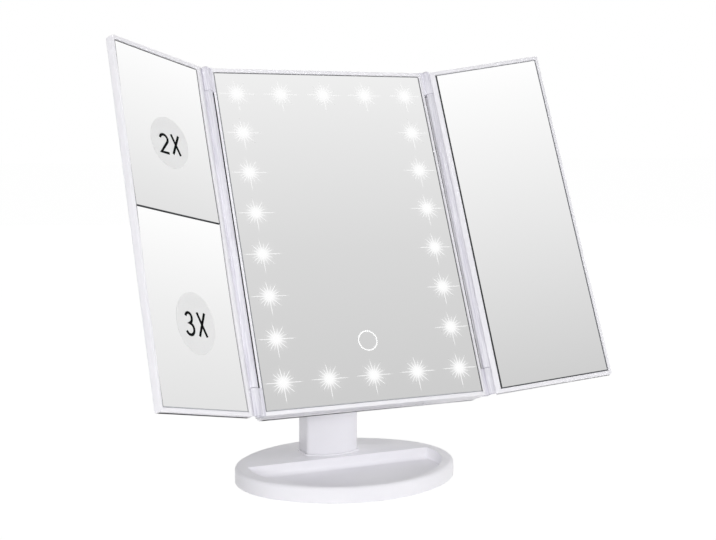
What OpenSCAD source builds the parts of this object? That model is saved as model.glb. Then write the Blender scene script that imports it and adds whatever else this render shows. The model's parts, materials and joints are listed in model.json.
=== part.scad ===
// Trifold vanity mirror on a weighted oval foot with a cosmetic tray.
// Millimetres, +Z up. The origin is the centre of the foot's underside, and -Y is the side that the user faces.
// The mirror head is drawn flat, as (x, depth behind the front rim, height above the glass's lower edge),
// and each wing as (distance out from its hinge axis, depth, height). on_head() and on_wing() put them in place.

/* [Foot] */
// Width of the oval foot
foot_w = 153; // [130:1:180]
// Depth of the oval foot
foot_d = 124; // [110:1:140]
// Height of the foot's top above the table
foot_h = 11; // [10:0.5:16]
// Radius of the arcs at the foot's two ends
foot_end_r = 50; // [45:1:56]
// Thickness of the foot's outer wall and top
foot_wall = 2; // [1.6:0.1:2.4]
// Radius of the rounded rim
rim_r = 2.5; // [1:0.5:3]
// Width of the rim in front of the tray
rim_front = 3.8; // [3.5:0.1:8]
// Width of the rim at the tray's two ends
rim_side = 8.5; // [5:0.5:12]
// Radius of the arcs at the tray's two ends
tray_end_r = 45; // [40:1:52]
// How far the tray's straight back wall lies behind the foot's centre
tray_back = 9.5; // [4:0.5:10]
// Depth of the tray
tray_depth = 8; // [5:0.5:8]
// Radius of the tray's two corners, seen from above
tray_corner_r = 4; // [3:0.5:8]
// Radius between the tray's back wall and its floor
tray_sweep_r = 3; // [1:0.5:4]
// Thickness of the tray's walls and floor
tray_skin = 1; // [0.8:0.1:1.4]
// Thickness of the anti-slip pad under the foot
pad_t = 1; // [0.8:0.1:1.5]
// Thickness of the cover that closes the foot
cover_t = 1.2; // [1.1:0.1:1.4]
// Thickness of the steel weight
weight_t = 5; // [3:0.5:5.5]

/* [Neck] */
// Width of the neck
neck_w = 38; // [34:1:46]
// Depth of the neck over its bowed front face
neck_d = 23.4; // [20:0.1:24]
// How far the neck's middle lies behind the foot's centre
neck_back = 28; // [27:0.1:31]
// How far the neck's front face bows out
neck_bow = 6.3; // [2:0.1:7]
// Radius of the neck's front corners
neck_front_r = 3.5; // [2.5:0.5:5]
// Radius of the neck's back corners
neck_back_r = 2.5; // [1.5:0.5:4]
// Thickness of the neck's wall
neck_wall = 2.2; // [1.8:0.1:2.6]
// Width of the collar round the neck's foot
collar_w = 1.4; // [0.8:0.1:2]
// Height of the collar
collar_h = 0.8; // [0.4:0.1:1.2]

/* [Tilt joint] */
// Height of the tilt axis above the table
tilt_z = 157.9; // [155:0.1:170]
// Lean of the head from upright, as photographed
lean = 25.5; // [0:0.5:90]
// Radius of the tilt bolt's shank
tilt_bolt_r = 3; // [2.5:0.1:3.5]
// Radius of the head's two ears
ear_r = 9.5; // [8.5:0.5:10.5]
// Thickness of each ear
ear_t = 9; // [8:0.5:11]
// Thickness of the friction washers
washer_t = 1.2; // [0.8:0.1:2]

/* [Head] */
// Visible width of the centre glass
glass_w = 153.6; // [145:0.1:170]
// Visible height of the centre glass
glass_h = 232; // [225:1:245]
// Thickness of the mirror glass
glass_t = 2; // [1.5:0.1:2]
// Width of the centre frame's side borders
side_border = 1.5; // [1.2:0.1:2.5]
// Width of the frames' top and bottom borders
end_border = 2.5; // [2:0.1:4]
// Thickness of the head
head_t = 18; // [17.5:0.1:20]
// Depth of the centre frame
frame_d = 9; // [8.5:0.1:9.5]
// Wall thickness of the head's rear housing
shell_t = 1.8; // [1.4:0.1:2]
// Radius of the housing's back edges
back_edge_r = 3; // [1.5:0.5:4]
// Distance of the tilt axis behind the front rim
axis_back = 31; // [30.5:0.1:34]
// Height of the tilt axis above the glass's lower edge
axis_up = 120.1; // [115:0.1:130]

/* [Lights] */
// Distance of the side lights from the glass's edge
led_side = 14.4; // [14.2:0.1:20]
// Distance of the top row of lights from the glass's upper edge
led_top = 15.8; // [14:0.1:20]
// Distance of the bottom row of lights from the glass's lower edge
led_bottom = 17.4; // [15:0.1:20]
// Lights along the top and along the bottom
led_columns = 5; // [3:1:7]
// Lights along each side, with both corners
led_rows = 8; // [4:1:10]
// Radius of the light holes behind the glass
led_hole_r = 3; // [2:0.1:3.4]
// Width of the light board's strips
led_strip_w = 8; // [6:0.5:9]
// Height of the touch switch above the glass's lower edge
touch_up = 40.5; // [35:0.5:60]

/* [Wings] */
// Distance of the hinge axes outside the centre glass
hinge_out = 5.6; // [5.4:0.1:6.5]
// Distance of the hinge axes in front of the rims
hinge_front = 0.9; // [0.8:0.1:1.5]
// Radius of the hinge barrels
barrel_r = 2.7; // [2.4:0.1:2.8]
// Radius of the hinge pins
pin_r = 1; // [0.8:0.1:1.2]
// Length of the knuckles at the top and bottom of the hinges
knuckle_len = 17.5; // [14:0.5:24]
// Distance from the hinge axis to the wing glass
wing_inner = 6.6; // [6.2:0.1:7]
// Width of the wing glass
wing_glass_w = 73.5; // [65:0.1:73.5]
// Width of the wings' outer borders
wing_border = 1.8; // [1.6:0.1:1.8]
// Thickness of the wings
wing_t = 6; // [5.8:0.1:7]
// Fold of the left wing from flat, as photographed
left_fold_angle = 30.5; // [0:0.5:180]
// Fold of the right wing from flat, as photographed
right_fold_angle = 22; // [0:0.5:180]
// Height of the line between the two left glasses
split_up = 122.4; // [100:0.1:140]
// Gap between the two left glasses
split_gap = 0.8; // [0.6:0.1:2]
// Depth of the hollow of the weaker magnifying glass at its rim
dish_2x = 0.6; // [0.2:0.1:1]
// Depth of the hollow of the stronger magnifying glass at its rim
dish_3x = 1; // [0.2:0.1:1.2]

/* [Power] */
// Radius of a battery cell
cell_r = 5.2; // [5:0.05:5.25]
// Length of a battery cell
cell_len = 44.5; // [44:0.1:45]
// Number of battery cells
cell_count = 4; // [2:1:4]
// Height of the battery bay's floor edge above the tilt axis
bay_above_axis = 24; // [22:0.5:28]
// Travel of the battery door before it lifts off
door_travel = 12; // [8:0.5:12]
// Travel of the power switch
switch_travel = 4; // [3:0.5:5]

/* [Hidden] */
$fn = 48;
big_fn = 180;   // facets on circles over 40 mm
tiny = 0.01;    // makes cuts run past a face
far = 400;      // larger than any piece

fit = 0.05;     // running clearance round a shaft
seat = 0.15;    // clearance between pieces that are fixed together
play = 0.35;    // clearance between pieces that move past each other
white = "whitesmoke";

// Foot
foot_x = foot_w / 2;
foot_y = foot_d / 2;
shell_z = 0.6;                          // the shell's lower edge, just above the table
pad_in = 0.4;                           // the pad is let into the cover
pad_edge = 10;                          // and stops this far inside the foot's edge
cover_z = pad_t - pad_in;
cover_top = cover_z + cover_t;
tray_x = foot_x - rim_side;
tray_y = foot_y - rim_front;
tray_floor = max(foot_h - tray_depth, cover_top + tray_skin + seat);
boss_r = 3.5;
screw_r = 1.2;
screw_head_r = 2.3;
foot_screw_len = 6;
neck_screw_len = 7;
tenon_screw_len = 8;
foot_boss = [for (a = [20, 52, 128, 160]) [(foot_x - pad_edge - 6) * cos(a), (foot_y - pad_edge - 6) * sin(a)]];
socket_z = 4.5;                         // underside of the neck's socket
socket_t = 1.5;
tenon = [28, 12];

// Neck
neck_x = neck_w / 2;
neck_rear = neck_back + neck_d / 2;
neck_front = neck_back - neck_d / 2;
bow_r = (neck_x * neck_x + neck_bow * neck_bow) / (2 * neck_bow);
bow_y = neck_front + bow_r;
corner_x = neck_x - neck_front_r;
corner_y = bow_y - sqrt(pow(bow_r - neck_front_r, 2) - corner_x * corner_x);
neck_cap_t = 3;                         // thickness of the neck's foot plate
neck_open_x = neck_x - 5;               // half width of the opening behind the neck
neck_open_top = tilt_z - 14;
neck_cover_t = 2;
neck_screw_z = [foot_h + 16, neck_open_top - 12];

// Head
head_x = glass_w / 2 + side_border;
head_bottom = -end_border;
head_top = glass_h + end_border;
glass_lip = 0.3;                        // the glass lies this far behind the rim
tape_t = 0.3;
ledge = glass_lip + glass_t + tape_t;   // front of the plate that carries the glass
plate_t = 1.2;
plate_back = ledge + plate_t;
frame_corner_r = 1.2;
glass_gap = 0.3;
back_in = head_t - shell_t;
case_boss_r = 3.2;
case_screw_in = 8.3;                    // from the head's sides
case_screw_end = 6;                     // and from the glass's ends
case_screws = [for (s = [case_screw_end, glass_h / 2, glass_h - case_screw_end]) for (x = [-1, 1])
    [x * (head_x - case_screw_in), s]];
case_head_n = frame_d + 3;              // the screw heads' seat

// Lights and boards
chip = 2.8;
board_t = 1;
led_front = plate_back + 0.2;
led_board_n = led_front + 1.2;
led_post_r = 1.8;
led_span_x = glass_w - 2 * led_side;
led_span_z = glass_h - led_top - led_bottom;
step_x = led_span_x / (led_columns - 1);
step_z = led_span_z / (led_rows - 1);
led_spots = concat(
    [for (i = [0:led_columns - 1]) for (j = [0, led_rows - 1]) [i * step_x - led_span_x / 2, led_bottom + j * step_z]],
    [for (j = [1:led_rows - 2]) for (i = [-1, 1]) [i * led_span_x / 2, led_bottom + j * step_z]]);
led_posts = concat(
    [for (i = [-0.5, 0.5]) for (j = [0, 1]) [i * step_x, led_bottom + j * led_span_z]],
    [for (i = [-1, 1]) for (j = [1.5, led_rows - 2.5]) [i * led_span_x / 2, led_bottom + j * step_z]]);
touch_r = 6;
main_w = 40;
main_x = [head_x - 16.3 - main_w, head_x - 16.3];
main_s = [0.4, 30];
main_n = 8;
main_t = 1.6;
driver = [main_x[0] + 18, main_s[0] + 7.6];             // corner of the driver chip
driver_w = 6;
driver_h = 1.2;
coil = [main_x[0] + 30, main_s[0] + 10.6];
coil_r = 3;
coil_h = 3;
capacitor = [main_x[0] + 9, main_s[0] + 18.6];
capacitor_r = 2.5;
capacitor_h = 4.5;
main_posts = [[main_x[0] + 3, main_s[0] + 3.6], [main_x[1] - 3, main_s[0] + 3.6],
              [main_x[0] + 3, main_s[1] - 3], [main_x[0] + 18, main_s[1] - 3]];
usb = [7.6, 5.4, 2.8];
usb_x = main_x[0] + 12;
switch_x = main_x[1] - 10;
switch_s = main_s[1] - 5;
switch_body_size = [12, 6, 3.8];
knob = [4, 3.2];

// Battery bay
bay_x = cell_len / 2 + 4;
bay_s0 = axis_up + bay_above_axis;
cell_pitch = 2 * cell_r + 0.5;
bay_s1 = bay_s0 + cell_count * cell_pitch + 1;
bay_wall = 1.2;
bay_n = plate_back + 0.4;               // front of the bay's floor
bay_floor = bay_n + bay_wall;
cell_n = bay_floor + cell_r + 0.1;
door_t = 1.6;
door_n = head_t - door_t;
door_x = bay_x + 3;
door_s0 = bay_s0 - 3;
door_seat_n = door_n - seat;
tongue = [1, 6, 0.7];                   // reach, length and thickness of the door's tongues
tongue_s = [door_s0 + 6, (door_s0 + head_top) / 2 - 6, head_top - door_travel - 14];
grip_x = 10;

// Wings
hinge_x = glass_w / 2 + hinge_out;
hinge_n = -hinge_front;
wing_root = barrel_r + 0.2;
wing_tip = wing_inner + wing_glass_w + wing_border;
wing_edge_r = 1.2;
wing_wall = 1.6;
wing_plate_back = ledge + 1;
wing_back_t = 1.6;
barrel_stop = hinge_out - side_border - play;   // the barrel's back meets the centre frame when the wing is flat
barrel_stop_n = 2;
hinge_block_n = 5;
tape_w = 6;
tape_in = 2;                            // from the glass's edge
pad_r = 2.5;                            // pads that the wing's back panel lies on
pad_off = 6;                            // from the pocket's edges
pin_in = 9;                             // depth of the pins in the barrel
pin_out = knuckle_len - 3;              // and in the knuckle

function tangent(p, r) =
    let (d = norm(p), a = atan2(p[1], p[0]) + (p[1] > 0 ? -1 : 1) * acos(r / d))
    [r * cos(a), r * sin(a)];

// ---------- placing ----------

module on_head() {
    translate([0, neck_back, tilt_z]) rotate([-lean, 0, 0]) translate([0, -axis_back, -axis_up]) children();
}

module on_wing(side, fold) {
    on_head() translate([side * hinge_x, hinge_n, 0]) mirror([side < 0 ? 1 : 0, 0, 0])
        rotate([0, 0, -fold]) translate([0, -hinge_n, 0]) children();
}

module on_left() {
    on_wing(-1, left_fold_angle) children();
}

module on_right() {
    on_wing(1, right_fold_angle) children();
}

// ---------- plates and rods ----------

module rounded_rect(x0, x1, s0, s1, r) {
    if (r > 0) {
        translate([x0 + r, s0]) square([x1 - x0 - 2 * r, s1 - s0]);
        translate([x0, s0 + r]) square([x1 - x0, s1 - s0 - 2 * r]);
        for (x = [x0 + r, x1 - r]) for (s = [s0 + r, s1 - r]) translate([x, s]) circle(r, $fn = 32);
    } else {
        translate([x0, s0]) square([x1 - x0, s1 - s0]);
    }
}

// A plate in the plane of the glass, from depth n0 to n1
module plate(x0, x1, s0, s1, n0, n1, r = 0) {
    translate([0, n1, 0]) rotate([90, 0, 0]) linear_extrude(n1 - n0) rounded_rect(x0, x1, s0, s1, r);
}

// A slab whose back edges and corners are rounded
module soft_slab(x0, x1, s0, s1, n0, n1, r) {
    plate(x0, x1, s0, s1, n0, n1 - r, r);
    plate(x0 + r, x1 - r, s0 + r, s1 - r, n0, n1);
    for (x = [x0 + r, x1 - r]) {
        translate([x, n1 - r, s0 + r]) cylinder(s1 - s0 - 2 * r, r, r, $fn = 32);
        for (s = [s0 + r, s1 - r]) translate([x, n1 - r, s]) sphere(r, $fn = 32);
    }
    for (s = [s0 + r, s1 - r]) translate([x0 + r, n1 - r, s]) rotate([0, 90, 0])
        cylinder(x1 - x0 - 2 * r, r, r, $fn = 32);
}

// A rod square to the glass, from depth n0 to n1
module rod(x, s, n0, n1, r) {
    translate([x, n1, s]) rotate([90, 0, 0]) cylinder(n1 - n0, r, r);
}

// An upright rod
module post(x, y, z0, z1, r) {
    translate([x, y, z0]) cylinder(z1 - z0, r, r);
}

// A rod along X
module bar(x0, x1, r) {
    translate([x0, 0, 0]) rotate([0, 90, 0]) cylinder(x1 - x0, r, r);
}

// A pan-head screw standing on z = 0, its head below and its shank above
module screw(head_r, head_h, shank_r, length) {
    difference() {
        translate([0, 0, -head_h]) cylinder(head_h, head_r, head_r);
        for (a = [0, 90]) rotate([0, 0, a]) translate([-head_r * 0.6, -0.35, -head_h - tiny])
            cube([head_r * 1.2, 0.7, head_h * 0.5]);
    }
    cylinder(length, shank_r, shank_r);
}

// ---------- foot ----------

// An oval of four tangent arcs is [half width, half depth, end radius]. Its side arcs have this radius.
function side_radius(o) = (pow(o[0] - o[2], 2) + o[1] * o[1] - o[2] * o[2]) / (2 * (o[1] - o[2]));

// Direction from the centre of a side arc to the centre of an end arc
function join_angle(o) = atan2(side_radius(o) - o[1], o[0] - o[2]);

foot_oval = [foot_x, foot_y, foot_end_r];
tray_oval = [tray_x, tray_y, tray_end_r];

// An oval drawn in by d
module oval(o, d) {
    end_x = o[0] - o[2];
    side_r = side_radius(o);
    for (x = [-end_x, end_x]) translate([x, 0]) circle(o[2] - d, $fn = big_fn);
    intersection() {
        side_disc(1, o, side_r - d);
        side_disc(-1, o, side_r - d);
        square([2 * (end_x + (o[2] - d) * cos(join_angle(o))), 2 * o[1]], center = true);
    }
}

module side_disc(m, o, r) {
    translate([0, m * (side_radius(o) - o[1])]) circle(r, $fn = big_fn);
}

// Half section of a disc of radius r with the foot's height and rounded rim
module disc_section(r) {
    translate([0, shell_z]) square([r, foot_h - rim_r - shell_z]);
    translate([0, shell_z]) square([r - rim_r, foot_h - shell_z]);
    translate([r - rim_r, foot_h - rim_r]) circle(rim_r, $fn = 32);
}

// The foot's outer form: a turned disc for each end, and a wedge of a larger one for each side
module foot_body() {
    side_r = side_radius(foot_oval);
    side_y = side_r - foot_y;
    join = join_angle(foot_oval);
    for (m = [-1, 1]) {
        translate([m * (foot_x - foot_end_r), 0, 0]) rotate_extrude($fn = big_fn) disc_section(foot_end_r);
        intersection() {
            translate([0, -m * side_y, 0]) rotate_extrude($fn = big_fn) disc_section(side_r);
            linear_extrude(foot_h + 1) polygon([[0, -m * side_y], [far * cos(join), m * (far * sin(join) - side_y)],
                [-far * cos(join), m * (far * sin(join) - side_y)]]);
        }
    }
}

// The tray seen from above; grow adds to every side
module tray_outline(grow) {
    end_x = tray_x - tray_end_r;
    back = tray_back + grow;
    r = tray_corner_r + grow;
    // a corner circle touches the straight back wall and the tray's end arc
    x = end_x + sqrt(pow(tray_end_r + grow - r, 2) - pow(back - r, 2));
    angle = atan2(back - r, x - end_x);
    difference() {
        oval(tray_oval, -grow);
        translate([-far / 2, back]) square([far, far]);
        for (m = [0, 1]) mirror([m, 0]) polygon([[x, back + 1], [x, back - r],
            [x + far * cos(angle), back - r + far * sin(angle)], [x + far, back + 1]]);
    }
    for (m = [-1, 1]) translate([m * x, back - r]) circle(r);
}

module neck_outline(inset) {
    r = bow_r - inset;
    front_r = neck_front_r - inset;
    back_r = neck_back_r - inset;
    flat_x = neck_x - neck_back_r;
    translate([inset - neck_x, corner_y]) square([neck_w - 2 * inset, neck_rear - neck_back_r - corner_y]);
    translate([-flat_x, corner_y]) square([2 * flat_x, neck_rear - inset - corner_y]);
    for (x = [-1, 1]) {
        translate([x * flat_x, neck_rear - neck_back_r]) circle(back_r);
        translate([x * corner_x, corner_y]) circle(front_r);
    }
    intersection() {
        translate([0, bow_y]) circle(r, $fn = big_fn);
        translate([-r * corner_x / (bow_r - neck_front_r), neck_front - neck_d])
            square([2 * r * corner_x / (bow_r - neck_front_r), corner_y - neck_front + neck_d]);
    }
}

module tenon_outline(grow) {
    translate([-tenon[0] / 2 - grow, neck_back - tenon[1] / 2 - grow])
        square([tenon[0] + 2 * grow, tenon[1] + 2 * grow]);
}

module base_shell() {
    color(white) difference() {
        union() {
            difference() {
                foot_body();
                linear_extrude(foot_h - foot_wall) oval(foot_oval, foot_wall);
            }
            // tray
            translate([0, 0, tray_floor - tray_skin]) linear_extrude(tray_depth + tray_skin) tray_outline(tray_skin);
            // bosses for the cover
            for (p = foot_boss) post(p[0], p[1], cover_top, foot_h - 1, boss_r);
            // neck socket
            translate([0, 0, socket_z]) linear_extrude(foot_h - socket_z - 1) tenon_outline(2.5);
            // collar round the neck
            translate([0, 0, foot_h - 1]) linear_extrude(1 + collar_h) neck_outline(-collar_w);
        }
        difference() {
            translate([0, 0, tray_floor]) linear_extrude(foot_h) tray_outline(0);
            tray_sweep();
        }
        for (p = foot_boss) post(p[0], p[1], cover_top - 1, foot_h - foot_wall - 1, screw_r);
        translate([0, 0, socket_z + socket_t]) linear_extrude(foot_h) tenon_outline(seat);
        for (x = [-8, 8]) post(x, neck_back, socket_z - 1, socket_z + socket_t + 1, screw_r + 0.3);
        translate([0, 0, foot_h]) linear_extrude(foot_h) neck_outline(-seat);
    }
}

// The round between the tray's back wall and its floor
module tray_sweep() {
    translate([-foot_x, tray_back - tray_sweep_r, tray_floor]) rotate([90, 0, 90]) linear_extrude(foot_w)
        difference() {
            translate([0, -1]) square([tray_sweep_r + 1, tray_sweep_r + 1]);
            translate([0, tray_sweep_r]) circle(tray_sweep_r + 2 * tiny);
        }
}

module base_cover() {
    color(white) difference() {
        translate([0, 0, cover_z]) linear_extrude(cover_t) oval(foot_oval, foot_wall + seat);
        translate([0, 0, cover_z - 1]) linear_extrude(pad_in + 1) oval(foot_oval, pad_edge - seat);
        for (p = foot_boss) post(p[0], p[1], 0, foot_h, screw_r + 0.3);
    }
}

module base_pad() {
    color("dimgray") linear_extrude(pad_t) difference() {
        oval(foot_oval, pad_edge);
        for (p = foot_boss) translate(p) circle(screw_head_r + 0.5);
    }
}

module base_weight() {
    color("gray") difference() {
        translate([0, 0, cover_top]) linear_extrude(weight_t) intersection() {
            oval(foot_oval, foot_wall + 2);
            translate([-far / 2, tray_back + tray_skin + 1]) square(far);
        }
        translate([0, 0, -1]) linear_extrude(foot_h) tenon_outline(3.2);
        for (p = foot_boss) post(p[0], p[1], 0, foot_h, boss_r + 0.5);
    }
}

module base_screws() {
    color("silver") for (p = foot_boss) translate([p[0], p[1], pad_t])
        screw(screw_head_r, pad_t - 0.3, screw_r - fit, foot_screw_len);
}

// ---------- neck ----------

module neck_post() {
    color(white) difference() {
        union() {
            intersection() {
                translate([0, 0, foot_h]) linear_extrude(tilt_z + neck_d - foot_h) neck_outline(0);
                union() {
                    translate([-far / 2, -far / 2, 0]) cube([far, far, tilt_z]);
                    translate([0, neck_back, tilt_z]) bar(-neck_x, neck_x, neck_d / 2);
                }
            }
            translate([0, 0, socket_z + socket_t]) linear_extrude(foot_h) tenon_outline(0);
        }
        // hollow, open to the rear
        translate([0, 0, foot_h + neck_cap_t]) linear_extrude(neck_open_top - foot_h - neck_cap_t)
            difference() {
                neck_outline(neck_wall);
                for (x = [-1, 1]) translate([x * (neck_open_x + far / 2), neck_rear]) square([far, 4], center = true);
            }
        translate([-neck_open_x, neck_rear - 4, foot_h + neck_cap_t])
            cube([2 * neck_open_x, 5, neck_open_top - foot_h - neck_cap_t]);
        translate([0, neck_back, tilt_z]) bar(-far / 2, far / 2, tilt_bolt_r + fit);
        for (x = [-8, 8]) post(x, neck_back, 0, foot_h + neck_cap_t - 0.8, screw_r);
    }
    // bosses for the cover's screws
    color(white) for (z = neck_screw_z) difference() {
        translate([0, neck_front + 1, z]) rotate([-90, 0, 0])
            cylinder(neck_rear - neck_cover_t - neck_front - 1, boss_r, boss_r);
        translate([0, neck_back, z]) rotate([-90, 0, 0]) cylinder(neck_d, screw_r, screw_r);
    }
}

module neck_cover() {
    color(white) difference() {
        translate([seat - neck_open_x, neck_rear - neck_cover_t, foot_h + neck_cap_t + seat])
            cube([2 * (neck_open_x - seat), neck_cover_t, neck_open_top - foot_h - neck_cap_t - 2 * seat]);
        for (z = neck_screw_z) translate([0, neck_rear - neck_cover_t - 1, z]) rotate([-90, 0, 0]) {
            cylinder(neck_d, screw_r + 0.3, screw_r + 0.3);
            translate([0, 0, 2]) cylinder(neck_d, 2.6, 2.6);
        }
    }
}

module neck_cover_screws() {
    color("silver") for (z = neck_screw_z) translate([0, neck_rear - neck_cover_t + 1, z]) rotate([90, 0, 0])
        screw(screw_head_r, 0.9, screw_r - fit, neck_screw_len);
}

module neck_foot_screws() {
    color("silver") for (x = [-8, 8]) translate([x, neck_back, socket_z]) screw(2.6, 1.2, screw_r - fit, tenon_screw_len);
}

// ---------- tilt joint ----------

module at_tilt_axis() {
    on_head() translate([0, axis_back, axis_up]) children();
}

ear_x0 = neck_x + washer_t + 2 * seat;
ear_x1 = ear_x0 + ear_t;
ear_recess = 4.5;
ear_root = 17;                          // half the ears' height where they leave the housing
bolt_head_r = 5;
nut_r = 5.5;

module tilt_bolt() {
    color("silver") at_tilt_axis() {
        bar(-ear_x1 + ear_recess - 2.8, -ear_x1 + ear_recess, bolt_head_r);
        bar(-ear_x1 + ear_recess, ear_x1 - ear_recess + 3.2, tilt_bolt_r);
    }
}

module tilt_nut() {
    color("silver") at_tilt_axis() difference() {
        translate([ear_x1 - ear_recess, 0, 0]) rotate([0, 90, 0]) cylinder(2.8, nut_r, nut_r, $fn = 6);
        bar(0, far / 2, tilt_bolt_r + fit);
    }
}

module tilt_washers() {
    color("dimgray") at_tilt_axis() for (x = [-1, 1]) difference() {
        translate([x * (neck_x + seat + washer_t / 2), 0, 0]) bar(-washer_t / 2, washer_t / 2, ear_r - 1);
        bar(-far / 2, far / 2, tilt_bolt_r + fit);
    }
}

module tilt_caps() {
    color(white) at_tilt_axis() for (x = [-1, 1]) translate([x * (ear_x1 - 0.6), 0, 0])
        bar(-0.6, 0.6, nut_r + 1 - seat);
}

// ---------- head: frame and glass ----------

// One knuckle of a hinge, drawn for the right side from z = 0, its closed end up. Hollow is a pocket in that end.
module knuckle(hollow) {
    difference() {
        union() {
            translate([hinge_x, hinge_n, 0]) rotate_extrude($fn = 48) {
                square([barrel_r - 1.2, knuckle_len]);
                square([barrel_r, knuckle_len - 1.2]);
                translate([barrel_r - 1.2, knuckle_len - 1.2]) circle(1.2, $fn = 32);
            }
            translate([head_x - 1, hinge_n + 0.3, 0])
                cube([hinge_x - head_x + 1, hinge_block_n - hinge_n - 0.3, knuckle_len]);
        }
        translate([hinge_x, hinge_n, -1]) cylinder(pin_out + 1, pin_r + fit / 2, pin_r + fit / 2);
        if (hollow) translate([hinge_x, hinge_n, pin_out + 0.5])
            cylinder(knuckle_len - pin_out, barrel_r - 0.8, barrel_r - 0.8);
    }
}

module knuckles() {
    for (m = [0, 1]) mirror([m, 0, 0]) {
        translate([0, 0, head_top - knuckle_len]) knuckle(false);
        translate([0, 0, head_bottom + knuckle_len]) mirror([0, 0, 1]) knuckle(true);
    }
}

module centre_frame() {
    color(white) on_head() difference() {
        union() {
            difference() {
                plate(-head_x, head_x, head_bottom, head_top, 0, frame_d, frame_corner_r);
                plate(-glass_w / 2, glass_w / 2, 0, glass_h, -1, ledge);
                plate(-glass_w / 2, glass_w / 2, 0, glass_h, plate_back, frame_d + 1);
            }
            for (p = case_screws) rod(p[0], p[1], plate_back - tiny, frame_d, case_boss_r);
            for (p = led_posts) rod(p[0], p[1], plate_back - tiny, led_board_n, led_post_r);
            for (p = main_posts) {
                rod(p[0], p[1], plate_back - tiny, main_n, 2);
                rod(p[0], p[1], main_n - tiny, main_n + main_t + 0.4, 1);
            }
            knuckles();
        }
        for (p = case_screws) rod(p[0], p[1], plate_back + 0.4, frame_d + 1, screw_r);
        for (p = led_spots) rod(p[0], p[1], 0, plate_back + 1, led_hole_r);
        rod(0, touch_up, 0, plate_back + 1, touch_r + 0.4);
    }
}

module centre_glass() {
    color("gainsboro") on_head() plate(glass_gap - glass_w / 2, glass_w / 2 - glass_gap, glass_gap, glass_h - glass_gap,
        glass_lip, glass_lip + glass_t);
}

// Foam tape behind a glass: a frame of strips
module tape(x0, x1, s0, s1) {
    inner = tape_in + tape_w;
    difference() {
        plate(x0 + tape_in, x1 - tape_in, s0 + tape_in, s1 - tape_in, ledge - tape_t, ledge);
        plate(x0 + inner, x1 - inner, s0 + inner, s1 - inner, ledge - 1, ledge + 1);
    }
}

module centre_glass_tape() {
    color("dimgray") on_head() tape(-glass_w / 2, glass_w / 2, 0, glass_h);
}

// ---------- head: rear housing ----------

module ear_outline() {
    depth = back_in - axis_back + tiny;
    top = tangent([depth, ear_root], ear_r - 2 * tiny);
    polygon([[depth, ear_root], top, [0, 0], [top[0], -top[1]], [depth, -ear_root]]);
    circle(ear_r);
}

module ears() {
    for (x = [-ear_x1, ear_x0]) translate([x, axis_back, axis_up]) rotate([90, 0, 90])
        linear_extrude(ear_t) ear_outline();
}

module door_slots() {
    for (m = [-1, 1]) for (s = tongue_s) {
        // groove under the lip, and the notch where the tongue lifts out
        translate([m * (door_x + tongue[0] / 2), 0, 0]) {
            plate(-tongue[0] / 2 - 0.8, tongue[0] / 2 + 0.3, s - 0.5, s + tongue[1] + door_travel + 0.5,
                door_n - seat, door_n + tongue[2] + 0.3);
            plate(-tongue[0] / 2 - 0.8, tongue[0] / 2 + 0.3, s + door_travel - 0.5, s + tongue[1] + door_travel + 0.5,
                door_n - seat, head_t + 1);
        }
    }
}

module rear_housing() {
    color(white) on_head() difference() {
        union() {
            difference() {
                soft_slab(-head_x, head_x, head_bottom, head_top, frame_d, head_t, back_edge_r);
                plate(-head_x + shell_t, head_x - shell_t, head_bottom + shell_t, head_top - shell_t,
                    frame_d - 1, back_in, 1);
            }
            // locating lip inside the frame
            difference() {
                plate(seat - glass_w / 2, glass_w / 2 - seat, seat, glass_h - seat, frame_d - 1.5, frame_d + 2);
                plate(1.4 - glass_w / 2, glass_w / 2 - 1.4, 1.4, glass_h - 1.4, frame_d - 2, frame_d + 3);
            }
            for (p = case_screws) rod(p[0], p[1], frame_d + 0.05, head_t - 0.5, case_boss_r + 0.4);
            // sunk floor under the battery door, and the bay's walls
            plate(-door_x - 1.6, door_x + 1.6, door_s0 - 1.6, head_top - 1, door_seat_n - 1.5, head_t - 0.5);
            plate(-bay_x - bay_wall, bay_x + bay_wall, bay_s0 - bay_wall, bay_s1 + bay_wall, bay_n, back_in + tiny);
            ears();
        }
        for (p = case_screws) {
            rod(p[0], p[1], case_head_n, head_t + 1, 2.7);
            rod(p[0], p[1], 0, head_t, screw_r + 0.2);
        }
        plate(-bay_x, bay_x, bay_s0, bay_s1, bay_floor, head_t + 1);
        plate(-door_x - seat, door_x + seat, door_s0 - seat, head_top + 5, door_seat_n, head_t + 1);
        door_slots();
        translate([0, axis_back, axis_up]) {
            bar(-far / 2, far / 2, tilt_bolt_r + fit / 2);
            for (m = [0, 1]) mirror([m, 0, 0]) bar(ear_x1 - ear_recess, ear_x1 + 1, nut_r + 1);
        }
        // room for the control board's edge, and the mouth of the power socket
        plate(main_x[0] - play, main_x[1] + play, 0, 2, frame_d - 2, main_n + main_t + seat);
        plate(usb_x - usb[0] / 2 - 0.5, usb_x + usb[0] / 2 + 0.5, head_bottom - 1, 2,
            main_n + main_t - 0.3, main_n + main_t + usb[2] + 0.5);
        // thumb recess and slot of the power switch
        plate(switch_x - 8, switch_x + 8, switch_s - 4, switch_s + 4, head_t - 0.8, head_t + 1, 2);
        plate(switch_x - (knob[0] + switch_travel) / 2 - play, switch_x + (knob[0] + switch_travel) / 2 + play,
            switch_s - knob[1] / 2 - play, switch_s + knob[1] / 2 + play, back_in - 1, head_t);
    }
}

module housing_screws() {
    color("silver") on_head() for (p = case_screws) translate([p[0], case_head_n, p[1]]) rotate([90, 0, 0])
        screw(2.4, 1.6, screw_r - fit, case_head_n - plate_back - 1);
}

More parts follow.
